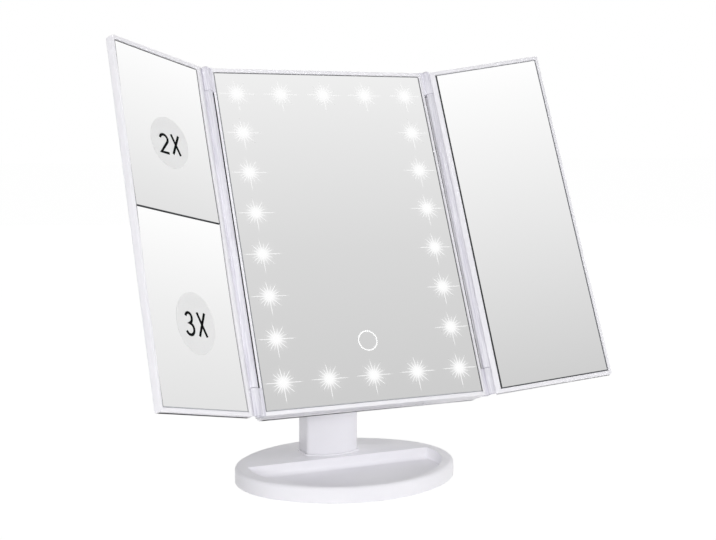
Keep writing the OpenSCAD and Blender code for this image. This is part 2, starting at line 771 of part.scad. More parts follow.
module battery_door() {
    color(white) on_head() {
        difference() {
            intersection() {
                soft_slab(-head_x, head_x, head_bottom, head_top, frame_d, head_t, back_edge_r);
                plate(-door_x, door_x, door_s0, head_top + 5, door_n, head_t + 1);
            }
            for (i = [0:4]) plate(-grip_x, grip_x, door_s0 + 8 + 2.4 * i, door_s0 + 9.2 + 2.4 * i,
                head_t - 0.5, head_t + 1);
        }
        for (m = [-1, 1]) for (s = tongue_s)
            translate([m * (door_x + tongue[0] / 2 - 0.3), 0, 0])
                plate(-tongue[0] / 2 - 0.3, tongue[0] / 2 + 0.1, s, s + tongue[1], door_n, door_n + tongue[2]);
    }
}

// ---------- head: electrics ----------

module led_board() {
    x = led_span_x / 2;
    w = led_strip_w / 2;
    s0 = led_bottom;
    s1 = led_bottom + led_span_z;
    color("seagreen") on_head() difference() {
        plate(-x - w, x + w, s0 - w, s1 + w, led_board_n, led_board_n + board_t);
        plate(-x + w, x - w, s0 + w, s1 - w, led_board_n - 1, led_board_n + board_t + 1);
        for (p = case_screws) rod(p[0], p[1], 0, head_t, case_boss_r + play);
    }
}

module led_chips() {
    color("lightyellow") on_head() for (p = led_spots)
        plate(p[0] - chip / 2, p[0] + chip / 2, p[1] - chip / 2, p[1] + chip / 2, led_front, led_board_n);
}

module touch_sensor() {
    color("goldenrod") on_head() {
        rod(0, touch_up, glass_lip + glass_t + fit, plate_back + tiny, touch_r);
        rod(0, touch_up, plate_back, plate_back + board_t, touch_r + 2.5);
    }
}

module control_board() {
    color("seagreen") on_head() difference() {
        union() {
            plate(main_x[0], main_x[1], main_s[0], main_s[1], main_n, main_n + main_t);
            plate(driver[0], driver[0] + driver_w, driver[1], driver[1] + driver_w,
                main_n + main_t - tiny, main_n + main_t + driver_h);
            rod(coil[0], coil[1], main_n + main_t - tiny, main_n + main_t + coil_h, coil_r);
            rod(capacitor[0], capacitor[1], main_n + main_t - tiny, main_n + main_t + capacitor_h, capacitor_r);
        }
        for (p = main_posts) rod(p[0], p[1], 0, head_t, 1 + fit);
    }
}

module usb_socket() {
    n0 = main_n + main_t;
    s0 = head_bottom + 0.4;
    color("silver") on_head() {
        difference() {
            plate(usb_x - usb[0] / 2, usb_x + usb[0] / 2, s0, s0 + usb[1], n0, n0 + usb[2], 0.6);
            plate(usb_x - usb[0] / 2 + 0.4, usb_x + usb[0] / 2 - 0.4, s0 - 1, s0 + usb[1] - 0.6,
                n0 + 0.4, n0 + usb[2] - 0.4, 0.3);
        }
        plate(usb_x - 2.4, usb_x + 2.4, s0 + 1, s0 + usb[1] - 0.3, n0 + 1.1, n0 + 1.7);
    }
}

module switch_body() {
    n0 = main_n + main_t;
    n1 = n0 + switch_body_size[2];
    color("silver") on_head() difference() {
        plate(switch_x - switch_body_size[0] / 2, switch_x + switch_body_size[0] / 2,
            switch_s - switch_body_size[1] / 2, switch_s + switch_body_size[1] / 2, n0, n1);
        plate(switch_x - switch_travel / 2 - 1, switch_x + switch_travel / 2 + 1, switch_s - 0.9, switch_s + 0.9,
            n0 + 1, n1 + 1);
    }
}

// Drawn at the end of its travel that turns the lights on
module switch_knob() {
    n1 = main_n + main_t + switch_body_size[2];
    x = switch_x + switch_travel / 2;
    color("dimgray") on_head() {
        plate(x - knob[0] / 2, x + knob[0] / 2, switch_s - knob[1] / 2, switch_s + knob[1] / 2, n1 + 0.3, head_t - 0.2);
        plate(x - 0.7, x + 0.7, switch_s - 0.6, switch_s + 0.6, n1 - 2.2, n1 + 0.4);
    }
}

module battery_cells() {
    color("slategray") on_head() for (i = [0:cell_count - 1])
        translate([0, cell_n, bay_s0 + 0.5 + (i + 0.5) * cell_pitch]) mirror([i % 2, 0, 0]) {
            bar(-cell_len / 2, cell_len / 2 - 0.8, cell_r);
            bar(cell_len / 2 - 0.9, cell_len / 2, 1.9);
        }
}

module battery_contacts() {
    color("silver") on_head() for (i = [0:cell_count - 1]) for (m = [-1, 1])
        translate([0, cell_n, bay_s0 + 0.5 + (i + 0.5) * cell_pitch]) mirror([m > 0 ? 1 : 0, 0, 0]) {
            translate([-bay_x + 0.05, -4, -4]) cube([0.5, 8, 8]);
            // pressed dome that bears on the cell
            translate([-bay_x + 0.5, 0, 0]) bar(0, bay_x - cell_len / 2 - 0.7, 2.4);
        }
}

// ---------- hinges and wings ----------

module hinge_pins(side) {
    color("silver") on_head() for (up = [0, 1])
        translate([side * hinge_x, hinge_n, up ? head_top - knuckle_len - pin_in : head_bottom + knuckle_len - pin_out])
            cylinder(pin_in + pin_out - 0.1, pin_r, pin_r);
}

module left_hinge_pins() {
    hinge_pins(-1);
}

module right_hinge_pins() {
    hinge_pins(1);
}

module barrel() {
    s0 = head_bottom + knuckle_len + play;
    s1 = head_top - knuckle_len - play;
    translate([0, hinge_n, s0]) cylinder(s1 - s0, barrel_r, barrel_r);
    plate(0, wing_root + 1, s0, s1, 0, hinge_block_n);
    plate(-barrel_stop, wing_root + 1, s0, s1, barrel_stop_n, hinge_block_n);
}

module wing_frame() {
    difference() {
        union() {
            soft_slab(wing_root, wing_tip, head_bottom, head_top, 0, wing_t, wing_edge_r);
            barrel();
        }
        plate(wing_inner, wing_inner + wing_glass_w, 0, glass_h, -1, ledge);
        plate(wing_inner - 2, wing_tip - wing_wall, head_bottom + wing_wall, head_top - wing_wall,
            wing_plate_back, wing_t + 1);
        for (up = [0, 1]) translate([0, hinge_n, up ? head_top - knuckle_len - pin_in - 1 : head_bottom])
            cylinder(up ? pin_in + 1 : knuckle_len + pin_in + 1, pin_r + fit, pin_r + fit);
    }
    for (x = [wing_inner + pad_off, wing_tip - wing_wall - pad_off]) for (s = [pad_off, glass_h / 2, glass_h - pad_off])
        rod(x, s, wing_plate_back - tiny, wing_t - wing_back_t, pad_r);
}

module wing_back() {
    plate(wing_inner - 2 + seat, wing_tip - wing_wall - seat, head_bottom + wing_wall + seat,
        head_top - wing_wall - seat, wing_t - wing_back_t, wing_t);
}

// A mirror plate between heights s0 and s1, hollowed like a shallow dish where dish > 0
module wing_glass(s0, s1, dish) {
    x0 = wing_inner + glass_gap;
    x1 = wing_inner + wing_glass_w - glass_gap;
    reach = norm([x1 - x0, s1 - s0]) / 2 - 2;
    steps = 10;
    difference() {
        plate(x0, x1, s0, s1, glass_lip, glass_lip + glass_t);
        if (dish > 0) translate([(x0 + x1) / 2, glass_lip, (s0 + s1) / 2]) rotate([-90, 0, 0])
            rotate_extrude($fn = 96) polygon(concat([[0, -1]],
                [[reach + 1, -1]], [for (i = [steps:-1:0]) [reach * i / steps, dish * (1 - pow(i / steps, 2))]]));
    }
}

module left_wing_frame() {
    color(white) on_left() wing_frame();
}

module right_wing_frame() {
    color(white) on_right() wing_frame();
}

module left_wing_back() {
    color(white) on_left() wing_back();
}

module right_wing_back() {
    color(white) on_right() wing_back();
}

module left_glass_2x() {
    color("gainsboro") on_left() wing_glass(split_up + split_gap / 2, glass_h - glass_gap, dish_2x);
}

module left_glass_3x() {
    color("gainsboro") on_left() wing_glass(glass_gap, split_up - split_gap / 2, dish_3x);
}

module right_glass() {
    color("gainsboro") on_right() wing_glass(glass_gap, glass_h - glass_gap, 0);
}

module left_glass_tape() {
    color("dimgray") on_left() {
        tape(wing_inner, wing_inner + wing_glass_w, 0, split_up);
        tape(wing_inner, wing_inner + wing_glass_w, split_up, glass_h);
    }
}

module right_glass_tape() {
    color("dimgray") on_right() tape(wing_inner, wing_inner + wing_glass_w, 0, glass_h);
}

base_shell();
base_cover();
base_pad();
base_weight();
base_screws();
neck_post();
neck_cover();
neck_cover_screws();
neck_foot_screws();
tilt_bolt();
tilt_nut();
tilt_washers();
tilt_caps();
centre_frame();
centre_glass();
centre_glass_tape();
rear_housing();
housing_screws();
led_board();
led_chips();
touch_sensor();
control_board();
usb_socket();
switch_body();
switch_knob();
battery_cells();
battery_contacts();
battery_door();
left_hinge_pins();
right_hinge_pins();
left_wing_frame();
left_wing_back();
left_glass_2x();
left_glass_3x();
left_glass_tape();
right_wing_frame();
right_wing_back();
right_glass();
right_glass_tape();
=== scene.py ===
"""Looks of a table-top trifold vanity mirror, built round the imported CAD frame.

Everything is in metres with +Z up, and the user faces the -Y side. A place on the head is (x across, n behind the
front rim, s above the lower edge of the glass), and on a wing x becomes r, the distance out from the hinge axis.
"""

import json
import math

import bmesh
import bpy
from bpy.props import FloatProperty, FloatVectorProperty, PointerProperty
from mathutils import Matrix, Vector

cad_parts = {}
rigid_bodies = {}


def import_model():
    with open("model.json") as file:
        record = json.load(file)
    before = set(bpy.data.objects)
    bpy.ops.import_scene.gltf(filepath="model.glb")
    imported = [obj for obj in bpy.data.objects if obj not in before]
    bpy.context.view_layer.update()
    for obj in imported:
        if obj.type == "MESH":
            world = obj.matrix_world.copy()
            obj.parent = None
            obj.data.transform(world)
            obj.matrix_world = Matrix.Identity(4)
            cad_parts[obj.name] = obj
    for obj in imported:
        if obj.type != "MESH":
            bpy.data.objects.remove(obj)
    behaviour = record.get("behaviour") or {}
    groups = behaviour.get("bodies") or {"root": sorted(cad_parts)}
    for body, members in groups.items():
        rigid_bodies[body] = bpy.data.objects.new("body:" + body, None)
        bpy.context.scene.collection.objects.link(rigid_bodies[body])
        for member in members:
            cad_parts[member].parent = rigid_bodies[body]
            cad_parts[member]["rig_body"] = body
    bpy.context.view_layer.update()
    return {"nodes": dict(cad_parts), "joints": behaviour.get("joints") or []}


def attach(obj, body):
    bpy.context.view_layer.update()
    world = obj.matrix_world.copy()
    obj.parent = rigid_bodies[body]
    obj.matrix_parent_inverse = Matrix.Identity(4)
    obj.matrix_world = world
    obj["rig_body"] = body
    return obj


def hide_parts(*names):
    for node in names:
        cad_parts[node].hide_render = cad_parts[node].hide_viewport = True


bl_info = {
    "name": "Trifold vanity mirror",
    "version": (1, 0, 0),
    "blender": (4, 5, 0),
    "location": "3D View > Sidebar > Vanity",
    "description": "Builds the finished pieces of a lit trifold mirror round its CAD frame",
    "category": "Object",
}

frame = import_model()

MM = 0.001
JOINTS = {joint["name"]: joint for joint in frame["joints"]}
UP = Vector(JOINTS["left_fold"]["axis"])            # up along the glass
BACK = Vector((0, UP.z, -UP.y))                     # into the glass
TILT = Vector(JOINTS["head_tilt"]["pos_m"])
AXIS_BACK = 31 * MM                                 # from the front rim to the tilt axis
AXIS_UP = 120.1 * MM
LEFT_FOLD = 30.5
RIGHT_FOLD = 22
GLASS_W = 153.6 * MM
GLASS_H = 232 * MM
GLASS_LIP = 0.3 * MM                                # from the front rim to the glass's face
GLASS_T = 2 * MM
GLASS_GAP = 0.3 * MM                                # round each glass
HINGE_OUT = 5.6 * MM
HINGE_FRONT = 0.9 * MM
HINGE_X = GLASS_W / 2 + HINGE_OUT                   # the hinge axes, from the head's middle
BARREL_R = 2.7 * MM
HEAD_X = 78.3 * MM                                  # half width of the head's frame
WING_INNER = 6.6 * MM
WING_GLASS_W = 73.5 * MM
WING_X0 = WING_INNER + GLASS_GAP                    # inner and outer edge of a wing's glass
WING_X1 = WING_INNER + WING_GLASS_W - GLASS_GAP
GLASS_TOP = GLASS_H - GLASS_GAP
SPLIT_UP = 122.4 * MM
SPLIT_GAP = 0.8 * MM
SPLIT_LOW = SPLIT_UP - SPLIT_GAP / 2
SPLIT_HIGH = SPLIT_UP + SPLIT_GAP / 2
DISH_2X = 0.6 * MM
DISH_3X = 1 * MM
LED_SIDE = 14.4 * MM
LED_TOP = 15.8 * MM
LED_BOTTOM = 17.4 * MM
LED_COLUMNS = 5
LED_ROWS = 8
TOUCH_UP = 40.5 * MM
CASE_SEAT = 12 * MM                                 # seat of the rear housing's screws
FOOT_SEAT = 1 * MM
NECK_BACK = 28 * MM
NECK_SEAT = 38.7 * MM
SHADE_STRIP_LOW = 15.5 * MM                                # ends of the black strip of painted shade beside each barrel
SHADE_STRIP_HIGH = 216.5 * MM
SHADE_STRIP_STEPS = 60
DISC_PROUD = 0.03 * MM                              # how far prints, lights and their painted glow and glint rays lie before the glass
GLOW_PROUD = 0.04 * MM
RAY_PROUD = 0.07 * MM
FIGURE_PROUD = (0.05 * MM, 0.09 * MM)
RAY_HALF_WIDTH = 0.55 * MM
CREASE = math.radians(35)                           # edges sharper than this are rounded as moulded
FLOOR_SHARE = 0.93                                  # of the floor's own white, the rest keeps the shadow
FLOOR_WHITE = 1.05


# ---------- places ----------

def on_head(x, n, s):
    return TILT + Vector((x, 0, 0)) + BACK * (n - AXIS_BACK) + UP * (s - AXIS_UP)


def from_head(point):
    """The (x, n, s) of a point, the reverse of on_head."""
    away = point - TILT
    return away.x, away.dot(BACK) + AXIS_BACK, away.dot(UP) + AXIS_UP


def on_wing(side, fold):
    """Returns the function that places (r, n, s) on a wing at its fold in the photograph."""
    turn = math.radians(fold)

    def place(r, n, s):
        depth = n + HINGE_FRONT
        return on_head(side * (GLASS_W / 2 + HINGE_OUT + r * math.cos(turn) + depth * math.sin(turn)),
                       depth * math.cos(turn) - r * math.sin(turn) - HINGE_FRONT, s)
    return place


on_left = on_wing(-1, LEFT_FOLD)
on_right = on_wing(1, RIGHT_FOLD)


def led_spots():
    """Centres (x, s) of the lights, round the edge of the centre glass."""
    across = [LED_SIDE - GLASS_W / 2 + i * (GLASS_W - 2 * LED_SIDE) / (LED_COLUMNS - 1) for i in range(LED_COLUMNS)]
    along = [LED_BOTTOM + j * (GLASS_H - LED_TOP - LED_BOTTOM) / (LED_ROWS - 1) for j in range(LED_ROWS)]
    spots = [(x, s) for x in across for s in (along[0], along[-1])]
    return spots + [(x, s) for s in along[1:-1] for x in (across[0], across[-1])]


# ---------- nodes and colours ----------

def srgb(code):
    """Linear RGBA of an sRGB hex colour."""
    channels = [int(code[i:i + 2], 16) / 255 for i in (1, 3, 5)]
    return [c / 12.92 if c <= 0.04045 else ((c + 0.055) / 1.055) ** 2.4 for c in channels] + [1.0]


def add(tree, kind, inputs=None, **settings):
    """Adds a node, sets its properties, and fills or links its inputs."""
    made = tree.nodes.new(kind)
    for key, value in settings.items():
        setattr(made, key, value)
    for key, value in (inputs or {}).items():
        if isinstance(value, bpy.types.NodeSocket):
            tree.links.new(value, made.inputs[key])
        else:
            made.inputs[key].default_value = value
    return made


def finish(name, **sockets):
    """A new material with a Principled shader whose constant sockets are set. Returns material, tree and shader."""
    material = bpy.data.materials.new(name)
    material.use_nodes = True
    tree = material.node_tree
    shader = tree.nodes["Principled BSDF"]
    for key, value in sockets.items():
        shader.inputs[key.replace("_", " ")].default_value = value
    return material, tree, shader


def grain(tree, size, detail=2.0):
    """Noise on Object coordinates whose cells are about size metres wide."""
    place = add(tree, "ShaderNodeTexCoord").outputs["Object"]
    return add(tree, "ShaderNodeTexNoise", {"Vector": place, "Scale": 1 / size, "Detail": detail}).outputs["Fac"]


def ramp(tree, value, stops):
    """Colour along a value between (position, hex) stops."""
    made = add(tree, "ShaderNodeValToRGB", {"Fac": value})
    while len(made.color_ramp.elements) < len(stops):
        made.color_ramp.elements.new(0.5)
    for element, (position, code) in zip(made.color_ramp.elements, stops):
        element.position = position
        element.color = srgb(code)
    return made.outputs["Color"]


def spread(tree, value, low, high):
    """The value's middle range stretched between low and high."""
    return add(tree, "ShaderNodeMapRange", {"Value": value, "From Min": 0.3, "From Max": 0.7,
                                            "To Min": low, "To Max": high}).outputs["Result"]


def bump(tree, height, depth):
    return add(tree, "ShaderNodeBump", {"Height": height, "Distance": depth}).outputs["Normal"]


def seen_directly(tree):
    """1 for rays from the camera, a mirror or a clear piece, and 0 for the light that falls on things."""
    rays = add(tree, "ShaderNodeLightPath").outputs
    seen = add(tree, "ShaderNodeMath", {0: rays["Is Camera Ray"], 1: rays["Is Glossy Ray"]}, operation="MAXIMUM")
    return add(tree, "ShaderNodeMath", {0: seen.outputs["Value"], 1: rays["Is Transmission Ray"]},
               operation="MAXIMUM").outputs["Value"]


def height_on_glass(tree):
    """Object coordinates and the distance along UP."""
    place = add(tree, "ShaderNodeTexCoord").outputs["Object"]
    return place, add(tree, "ShaderNodeVectorMath", {0: place, 1: UP}, operation="DOT_PRODUCT").outputs["Value"]


# ---------- materials ----------

def satin_abs():
    """ABS moulded in a fine-sparked tool: cool white with a soft broad highlight and a barely visible grain."""
    material, tree, shader = finish("abs_moulded_satin", IOR=1.53)
    drift = spread(tree, grain(tree, 45 * MM, 1), 0, 1)
    tree.links.new(ramp(tree, drift, [(0, "#F1F0F5"), (1, "#F4F3F7")]), shader.inputs["Base Color"])
    tree.links.new(spread(tree, grain(tree, 9 * MM), 0.31, 0.38), shader.inputs["Roughness"])
    # the tool's sparked grain is about 0.1 mm wide, and is drawn 1.5 mm wide so that it shows
    tree.links.new(bump(tree, grain(tree, 1.5 * MM, 1), 0.015 * MM), shader.inputs["Normal"])
    return material


def shaded_streaked_abs():
    """Hinge barrels of the same ABS, with painted shade: a shade greyer than the rest, and streaked darker and paler
    along the barrel.
    """
    material, tree, shader = finish("abs_barrel_painted_shade_streaks", Roughness=0.42, IOR=1.53)
    place, along = height_on_glass(tree)
    lift = add(tree, "ShaderNodeVectorMath", {0: UP, 3: along}, operation="SCALE").outputs["Vector"]
    lift = add(tree, "ShaderNodeVectorMath", {0: lift, 3: 0.96}, operation="SCALE").outputs["Vector"]
    flat = add(tree, "ShaderNodeVectorMath", {0: place, 1: lift}, operation="SUBTRACT").outputs["Vector"]
    streaks = add(tree, "ShaderNodeTexNoise", {"Vector": flat, "Scale": 1 / (1.1 * MM), "Detail": 2.0}).outputs["Fac"]
    # painted shade: the barrels are greyer than the rest of the ABS, and streaked along their length
    tree.links.new(ramp(tree, streaks, [(0.32, "#D2D0DB"), (0.62, "#EBEAF1")]), shader.inputs["Base Color"])
    tree.links.new(bump(tree, streaks, 0.02 * MM), shader.inputs["Normal"])
    return material


def silvered_glass(name, low, high, stops):
    """Silvered float glass: a clean mirror. Its base colour is a painted reflection, paler at the top and darker
    towards the bottom, standing for the darker room that it would reflect below.
    """
    material, tree, shader = finish(name, Metallic=1.0, Roughness=0.012)
    place, along = height_on_glass(tree)
    start = on_head(0, 0, 0).dot(UP)
    share = add(tree, "ShaderNodeMapRange", {"Value": along, "From Min": start + low, "From Max": start + high})
    # painted reflection: the base colour runs from the grey at the glass's bottom to the white at its top
    tree.links.new(ramp(tree, share.outputs["Result"], stops), shader.inputs["Base Color"])
    # float glass is flat to a few micrometres over a hand's width
    tree.links.new(bump(tree, grain(tree, 60 * MM, 1), 0.004 * MM), shader.inputs["Normal"])
    return material


def ground_edge(name, pale, dark):
    """Ground and seamed float-glass edge: a dull line round the silvered face, partly the edge's own grey and partly
    painted shade, the shadow in the recess round the glass.
    """
    material, tree, shader = finish("glass_edge_ground_painted_shade_" + name, Roughness=0.35, IOR=1.52)
    tree.links.new(ramp(tree, grain(tree, 2 * MM), [(0.3, dark), (0.7, pale)]), shader.inputs["Base Color"])
    tree.links.new(bump(tree, grain(tree, 0.4 * MM), 0.02 * MM), shader.inputs["Normal"])
    return material


def backing_paint():
    """Grey protective paint behind the silver."""
    material, tree, shader = finish("mirror_backing_paint", Roughness=0.6)
    tree.links.new(ramp(tree, grain(tree, 5 * MM), [(0.3, "#6E7478"), (0.7, "#7B8185")]), shader.inputs["Base Color"])
    return material


def light_glow(name):
    """Light through a frosted window in the silver: white in the middle, with a painted glow that fades into the mirror
    around it, and painted glint rays.
    """
    material, tree, shader = finish(name, Base_Color=(0, 0, 0, 1), Roughness=1.0, Emission_Color=(1, 1, 1, 1),
                                    Emission_Strength=1.0)
    shader.inputs["Specular IOR Level"].default_value = 0
    glow = add(tree, "ShaderNodeAttribute", attribute_name="glow").outputs["Fac"]
    tree.links.new(glow, shader.inputs["Alpha"])
    return material


def frosted_print(name, pale, dark, strength):
    """Sand-blasted or printed white on the glass: matt, even, with a fine tooth."""
    material, tree, shader = finish(name, Roughness=0.7, Emission_Color=(1, 1, 1, 1), Emission_Strength=strength)
    shader.inputs["Specular IOR Level"].default_value = 0.2
    tree.links.new(ramp(tree, grain(tree, 1 * MM), [(0.35, dark), (0.65, pale)]), shader.inputs["Base Color"])
    return material


def black_print():
    """Screen-printed black enamel: dense and flat."""
    material, tree, shader = finish("enamel_screen_printed_black", Roughness=0.7)
    shader.inputs["Specular IOR Level"].default_value = 0.1
    tree.links.new(ramp(tree, grain(tree, 1.2 * MM), [(0.3, "#020203"), (0.7, "#080809")]), shader.inputs["Base Color"])
    return material


def plated_steel(name, pale, dark, roughness):
    """Plated steel: grey metal with faint drawn scratches."""
    material, tree, shader = finish(name, Metallic=1.0, Roughness=roughness)
    tree.links.new(ramp(tree, grain(tree, 1.5 * MM, 4), [(0.3, dark), (0.7, pale)]), shader.inputs["Base Color"])
    tree.links.new(bump(tree, grain(tree, 0.3 * MM, 3), 0.01 * MM), shader.inputs["Normal"])
    return material


def fine_grained(name, pale, dark, roughness, cell, depth):
    """A dull stuff with its own grain, whose cells and depth are given: rubber, foam, nylon, mask, sleeve, and the
    black strip of painted shade in the hinge gaps.
    """
    material, tree, shader = finish(name, Roughness=roughness)
    tree.links.new(ramp(tree, grain(tree, cell, 3), [(0.3, dark), (0.7, pale)]), shader.inputs["Base Color"])
    tree.links.new(bump(tree, grain(tree, cell, 3), depth), shader.inputs["Normal"])
    return material


# ---------- meshes ----------

def piece(name, mesh, materials, body):
    """A finished object at the origin that rides on a body."""
    made = bpy.data.objects.new(name, mesh)
    bpy.context.scene.collection.objects.link(made)
    for material in materials[len(mesh.materials):]:
        mesh.materials.append(material)
    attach(made, body)
    return made


def to_mesh(name, bm, crease=40):
    """The bmesh as a mesh, smooth but for edges sharper than the crease angle."""
    limit = math.radians(crease)
    for face in bm.faces:
        face.smooth = True
    for edge in bm.edges:
        edge.smooth = len(edge.link_faces) == 2 and edge.calc_face_angle(0) < limit
    mesh = bpy.data.meshes.new(name)
    bm.to_mesh(mesh)
    bm.free()
    return mesh


def plain_mesh(obj):
    """The object's evaluated mesh, with its modifiers applied."""
    graph = bpy.context.evaluated_depsgraph_get()
    graph.update()
    return bpy.data.meshes.new_from_object(obj.evaluated_get(graph), depsgraph=graph)


def softened(node, material, radius):
    """A copy of a CAD node with its sharp edges rounded as a mould leaves them. It replaces the node."""
    bm = bmesh.new()
    bm.from_mesh(frame["nodes"][node].data)
    bmesh.ops.remove_doubles(bm, verts=bm.verts, dist=0.002 * MM)
    bmesh.ops.dissolve_limit(bm, angle_limit=math.radians(0.5), verts=bm.verts, edges=bm.edges)
    mesh = bpy.data.meshes.new(node + "_copy")
    bm.to_mesh(mesh)
    bm.free()
    copy = bpy.data.objects.new(node + "_copy", mesh)
    bpy.context.scene.collection.objects.link(copy)
    rounding = copy.modifiers.new("Rounding", "BEVEL")
    rounding.width = radius
    rounding.segments = 2
    rounding.limit_method = "ANGLE"
    rounding.angle_limit = CREASE
    rounding.use_clamp_overlap = True
    rounded = plain_mesh(copy)
    bpy.data.objects.remove(copy)
    bm = bmesh.new()
    bm.from_mesh(rounded)
    made = piece(node + "_finished", to_mesh(node + "_finished", bm), [material], frame["nodes"][node]["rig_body"])
    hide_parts(node)
    return made


def streak_barrels(made):
    """Gives the faces of a frame's hinge barrels the streaked finish, greyer as painted shade."""
    made.data.materials.append(FINISHES["barrel"])
    for face in made.data.polygons:
        x, n, s = from_head(face.center)
        if math.hypot(abs(x) - HINGE_X, n + HINGE_FRONT) < BARREL_R + 0.1 * MM:
            face.material_index = 1


def dressed(node, material):
    """Gives a CAD node that keeps its shape its finish."""
    for holder in frame["nodes"][node].material_slots:
        holder.material = material


def dished(x0, x1, s0, s1, dish):
    """Returns the depth of a plate's face at (x, s). A dish hollows it as in the CAD."""
    reach = math.hypot(x1 - x0, s1 - s0) / 2 - 2 * MM
    middle = Vector(((x0 + x1) / 2, (s0 + s1) / 2))

    def depth(x, s):
        away = (Vector((x, s)) - middle).length / reach
        return GLASS_LIP + max(0, dish * (1 - away * away))
    return depth


def mirror_plate(name, place, x0, x1, s0, s1, dish, materials, seams, body, node):
    """A mirror plate with a ground edge. Materials: face, back, then the edges at x0, x1, s0 and s1, as seams are."""
    slope = 0.35 * MM
    columns, rows = (16, 24) if dish > 0 else (1, 1)
    depth = dished(x0, x1, s0, s1, dish)

    def steps(low, high, count, first, last):
        return ([low] + [low + first + (high - low - first - last) * i / count for i in range(count + 1)] + [high])

    across, along = steps(x0, x1, columns, *seams[:2]), steps(s0, s1, rows, *seams[2:])
    last_x, last_s = len(across) - 1, len(along) - 1
    bm = bmesh.new()
    front, back = {}, {}
    for i, x in enumerate(across):
        for j, s in enumerate(along):
            edge = i in (0, last_x) or j in (0, last_s)
            front[i, j] = bm.verts.new(place(x, depth(x, s) + (slope if edge else 0), s))
            if edge:
                back[i, j] = bm.verts.new(place(x, GLASS_LIP + GLASS_T, s))
    for i in range(last_x):
        for j in range(last_s):
            face = bm.faces.new([front[i, j], front[i + 1, j], front[i + 1, j + 1], front[i, j + 1]])
            face.material_index = side_of(i, j, last_x - 1, last_s - 1)
    ring = ([(i, 0) for i in range(last_x)] + [(last_x, j) for j in range(last_s)]
            + [(i, last_s) for i in range(last_x, 0, -1)] + [(0, j) for j in range(last_s, 0, -1)])
    for a, b in zip(ring, ring[1:] + ring[:1]):
        face = bm.faces.new([front[b], front[a], back[a], back[b]])
        face.material_index = 4 if a[1] == b[1] == 0 else 5 if a[1] == b[1] else 2 if a[0] == 0 else 3
    bm.faces.new([back[p] for p in ring]).material_index = 1
    bmesh.ops.recalc_face_normals(bm, faces=bm.faces)
    made = piece(name, to_mesh(name, bm, 10), materials, body)
    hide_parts(node)
    return made


def side_of(i, j, last_i, last_j):
    """Material index of a cell of a plate's face: an edge at the rim, and the silver inside it."""
    if i == 0 or i == last_i:
        return 2 if i == 0 else 3
    if j == 0 or j == last_j:
        return 4 if j == 0 else 5
    return 0


def band(bm, a, b):
    """Faces between two closed loops of equal length."""
    for i in range(len(a)):
        j = (i + 1) % len(a)
        bm.faces.new([a[i], a[j], b[j], b[i]])


def flat_disc(place, x, s, n, inner, outer, rings, sides, glow=None):
    """A single flat sheet, a disc or ring just before the glass. Glow gives each ring's brightness."""
    bm = bmesh.new()
    layer = bm.verts.layers.float.new("glow")
    loops = []
    for k in range(rings + 1):
        radius = inner + (outer - inner) * k / rings
        loop = []
        for i in range(sides if radius > 0 else 1):
            turn = 2 * math.pi * i / sides
            vert = bm.verts.new(place(x + radius * math.cos(turn), n, s + radius * math.sin(turn)))
            vert[layer] = glow(k / rings) if glow else 1
            loop.append(vert)
        loops.append(loop)
    for a, b in zip(loops, loops[1:]):
        for i in range(sides):
            j = (i + 1) % sides
            bm.faces.new([a[0], b[i], b[j]] if len(a) == 1 else [a[i], b[i], b[j], a[j]])
    return bm


def arc(u, v, radius, first, last, steps=14):
    """Points along an arc, with its angles in degrees."""
    turns = [math.radians(first + (last - first) * i / steps) for i in range(steps + 1)]
    return [(u + radius * math.cos(t), v + radius * math.sin(t)) for t in turns]


def figure_path(figure, middle, wide, tall, stroke):
    """Centre line of a figure 2 or 3, whose outer size is wide by tall."""
    half_w, half_t = (wide - stroke) / 2, (tall - stroke) / 2
    if figure == "two":
        path = arc(0, 0.5, 0.5, 172, -36) + [(-1, -1), (1, -1)]
        path = [(u * (1.9 if i < 15 else 1), v) for i, (u, v) in enumerate(path)]
    else:
        upper = [(u * 1.7, v) for u, v in arc(-0.02, 0.53, 0.47, 160, -90)]
        path = upper + [(u * 1.9, v) for u, v in arc(0, -0.47, 0.53, 90, -160, 18)][1:]
    return [(middle[0] + u * half_w, middle[1] + v * half_t) for u, v in path]


def cross_paths(middle, wide, tall, stroke):
    """Centre lines of an X."""
    half_w, half_t = (wide - 1.2 * stroke) / 2, tall / 2
    return [[(middle[0] + i * half_w, middle[1] + half_t), (middle[0] - i * half_w, middle[1] - half_t)]
            for i in (-1, 1)]


def brush(bm, place, path, width, low, high):
    """A closed flat stroke of even width along a path, from low to high above the glass."""
    points = [Vector(p) for p in path]
    rows = []
    for i, point in enumerate(points):
        before = (point - points[i - 1]).normalized() if i else (points[1] - point).normalized()
        after = (points[i + 1] - point).normalized() if i + 1 < len(points) else before
        along = (before + after).normalized()
        side = Vector((-along.y, along.x)) * width / 2 / max(0.5, along.dot(before))
        rows.append([bm.verts.new(place(q.x, n, q.y)) for q, n in
                     ((point + side, low), (point + side, high), (point - side, high), (point - side, low))])
    for a, b in zip(rows, rows[1:]):
        band(bm, a, b)
    bm.faces.new(rows[0])
    bm.faces.new(rows[-1][::-1])


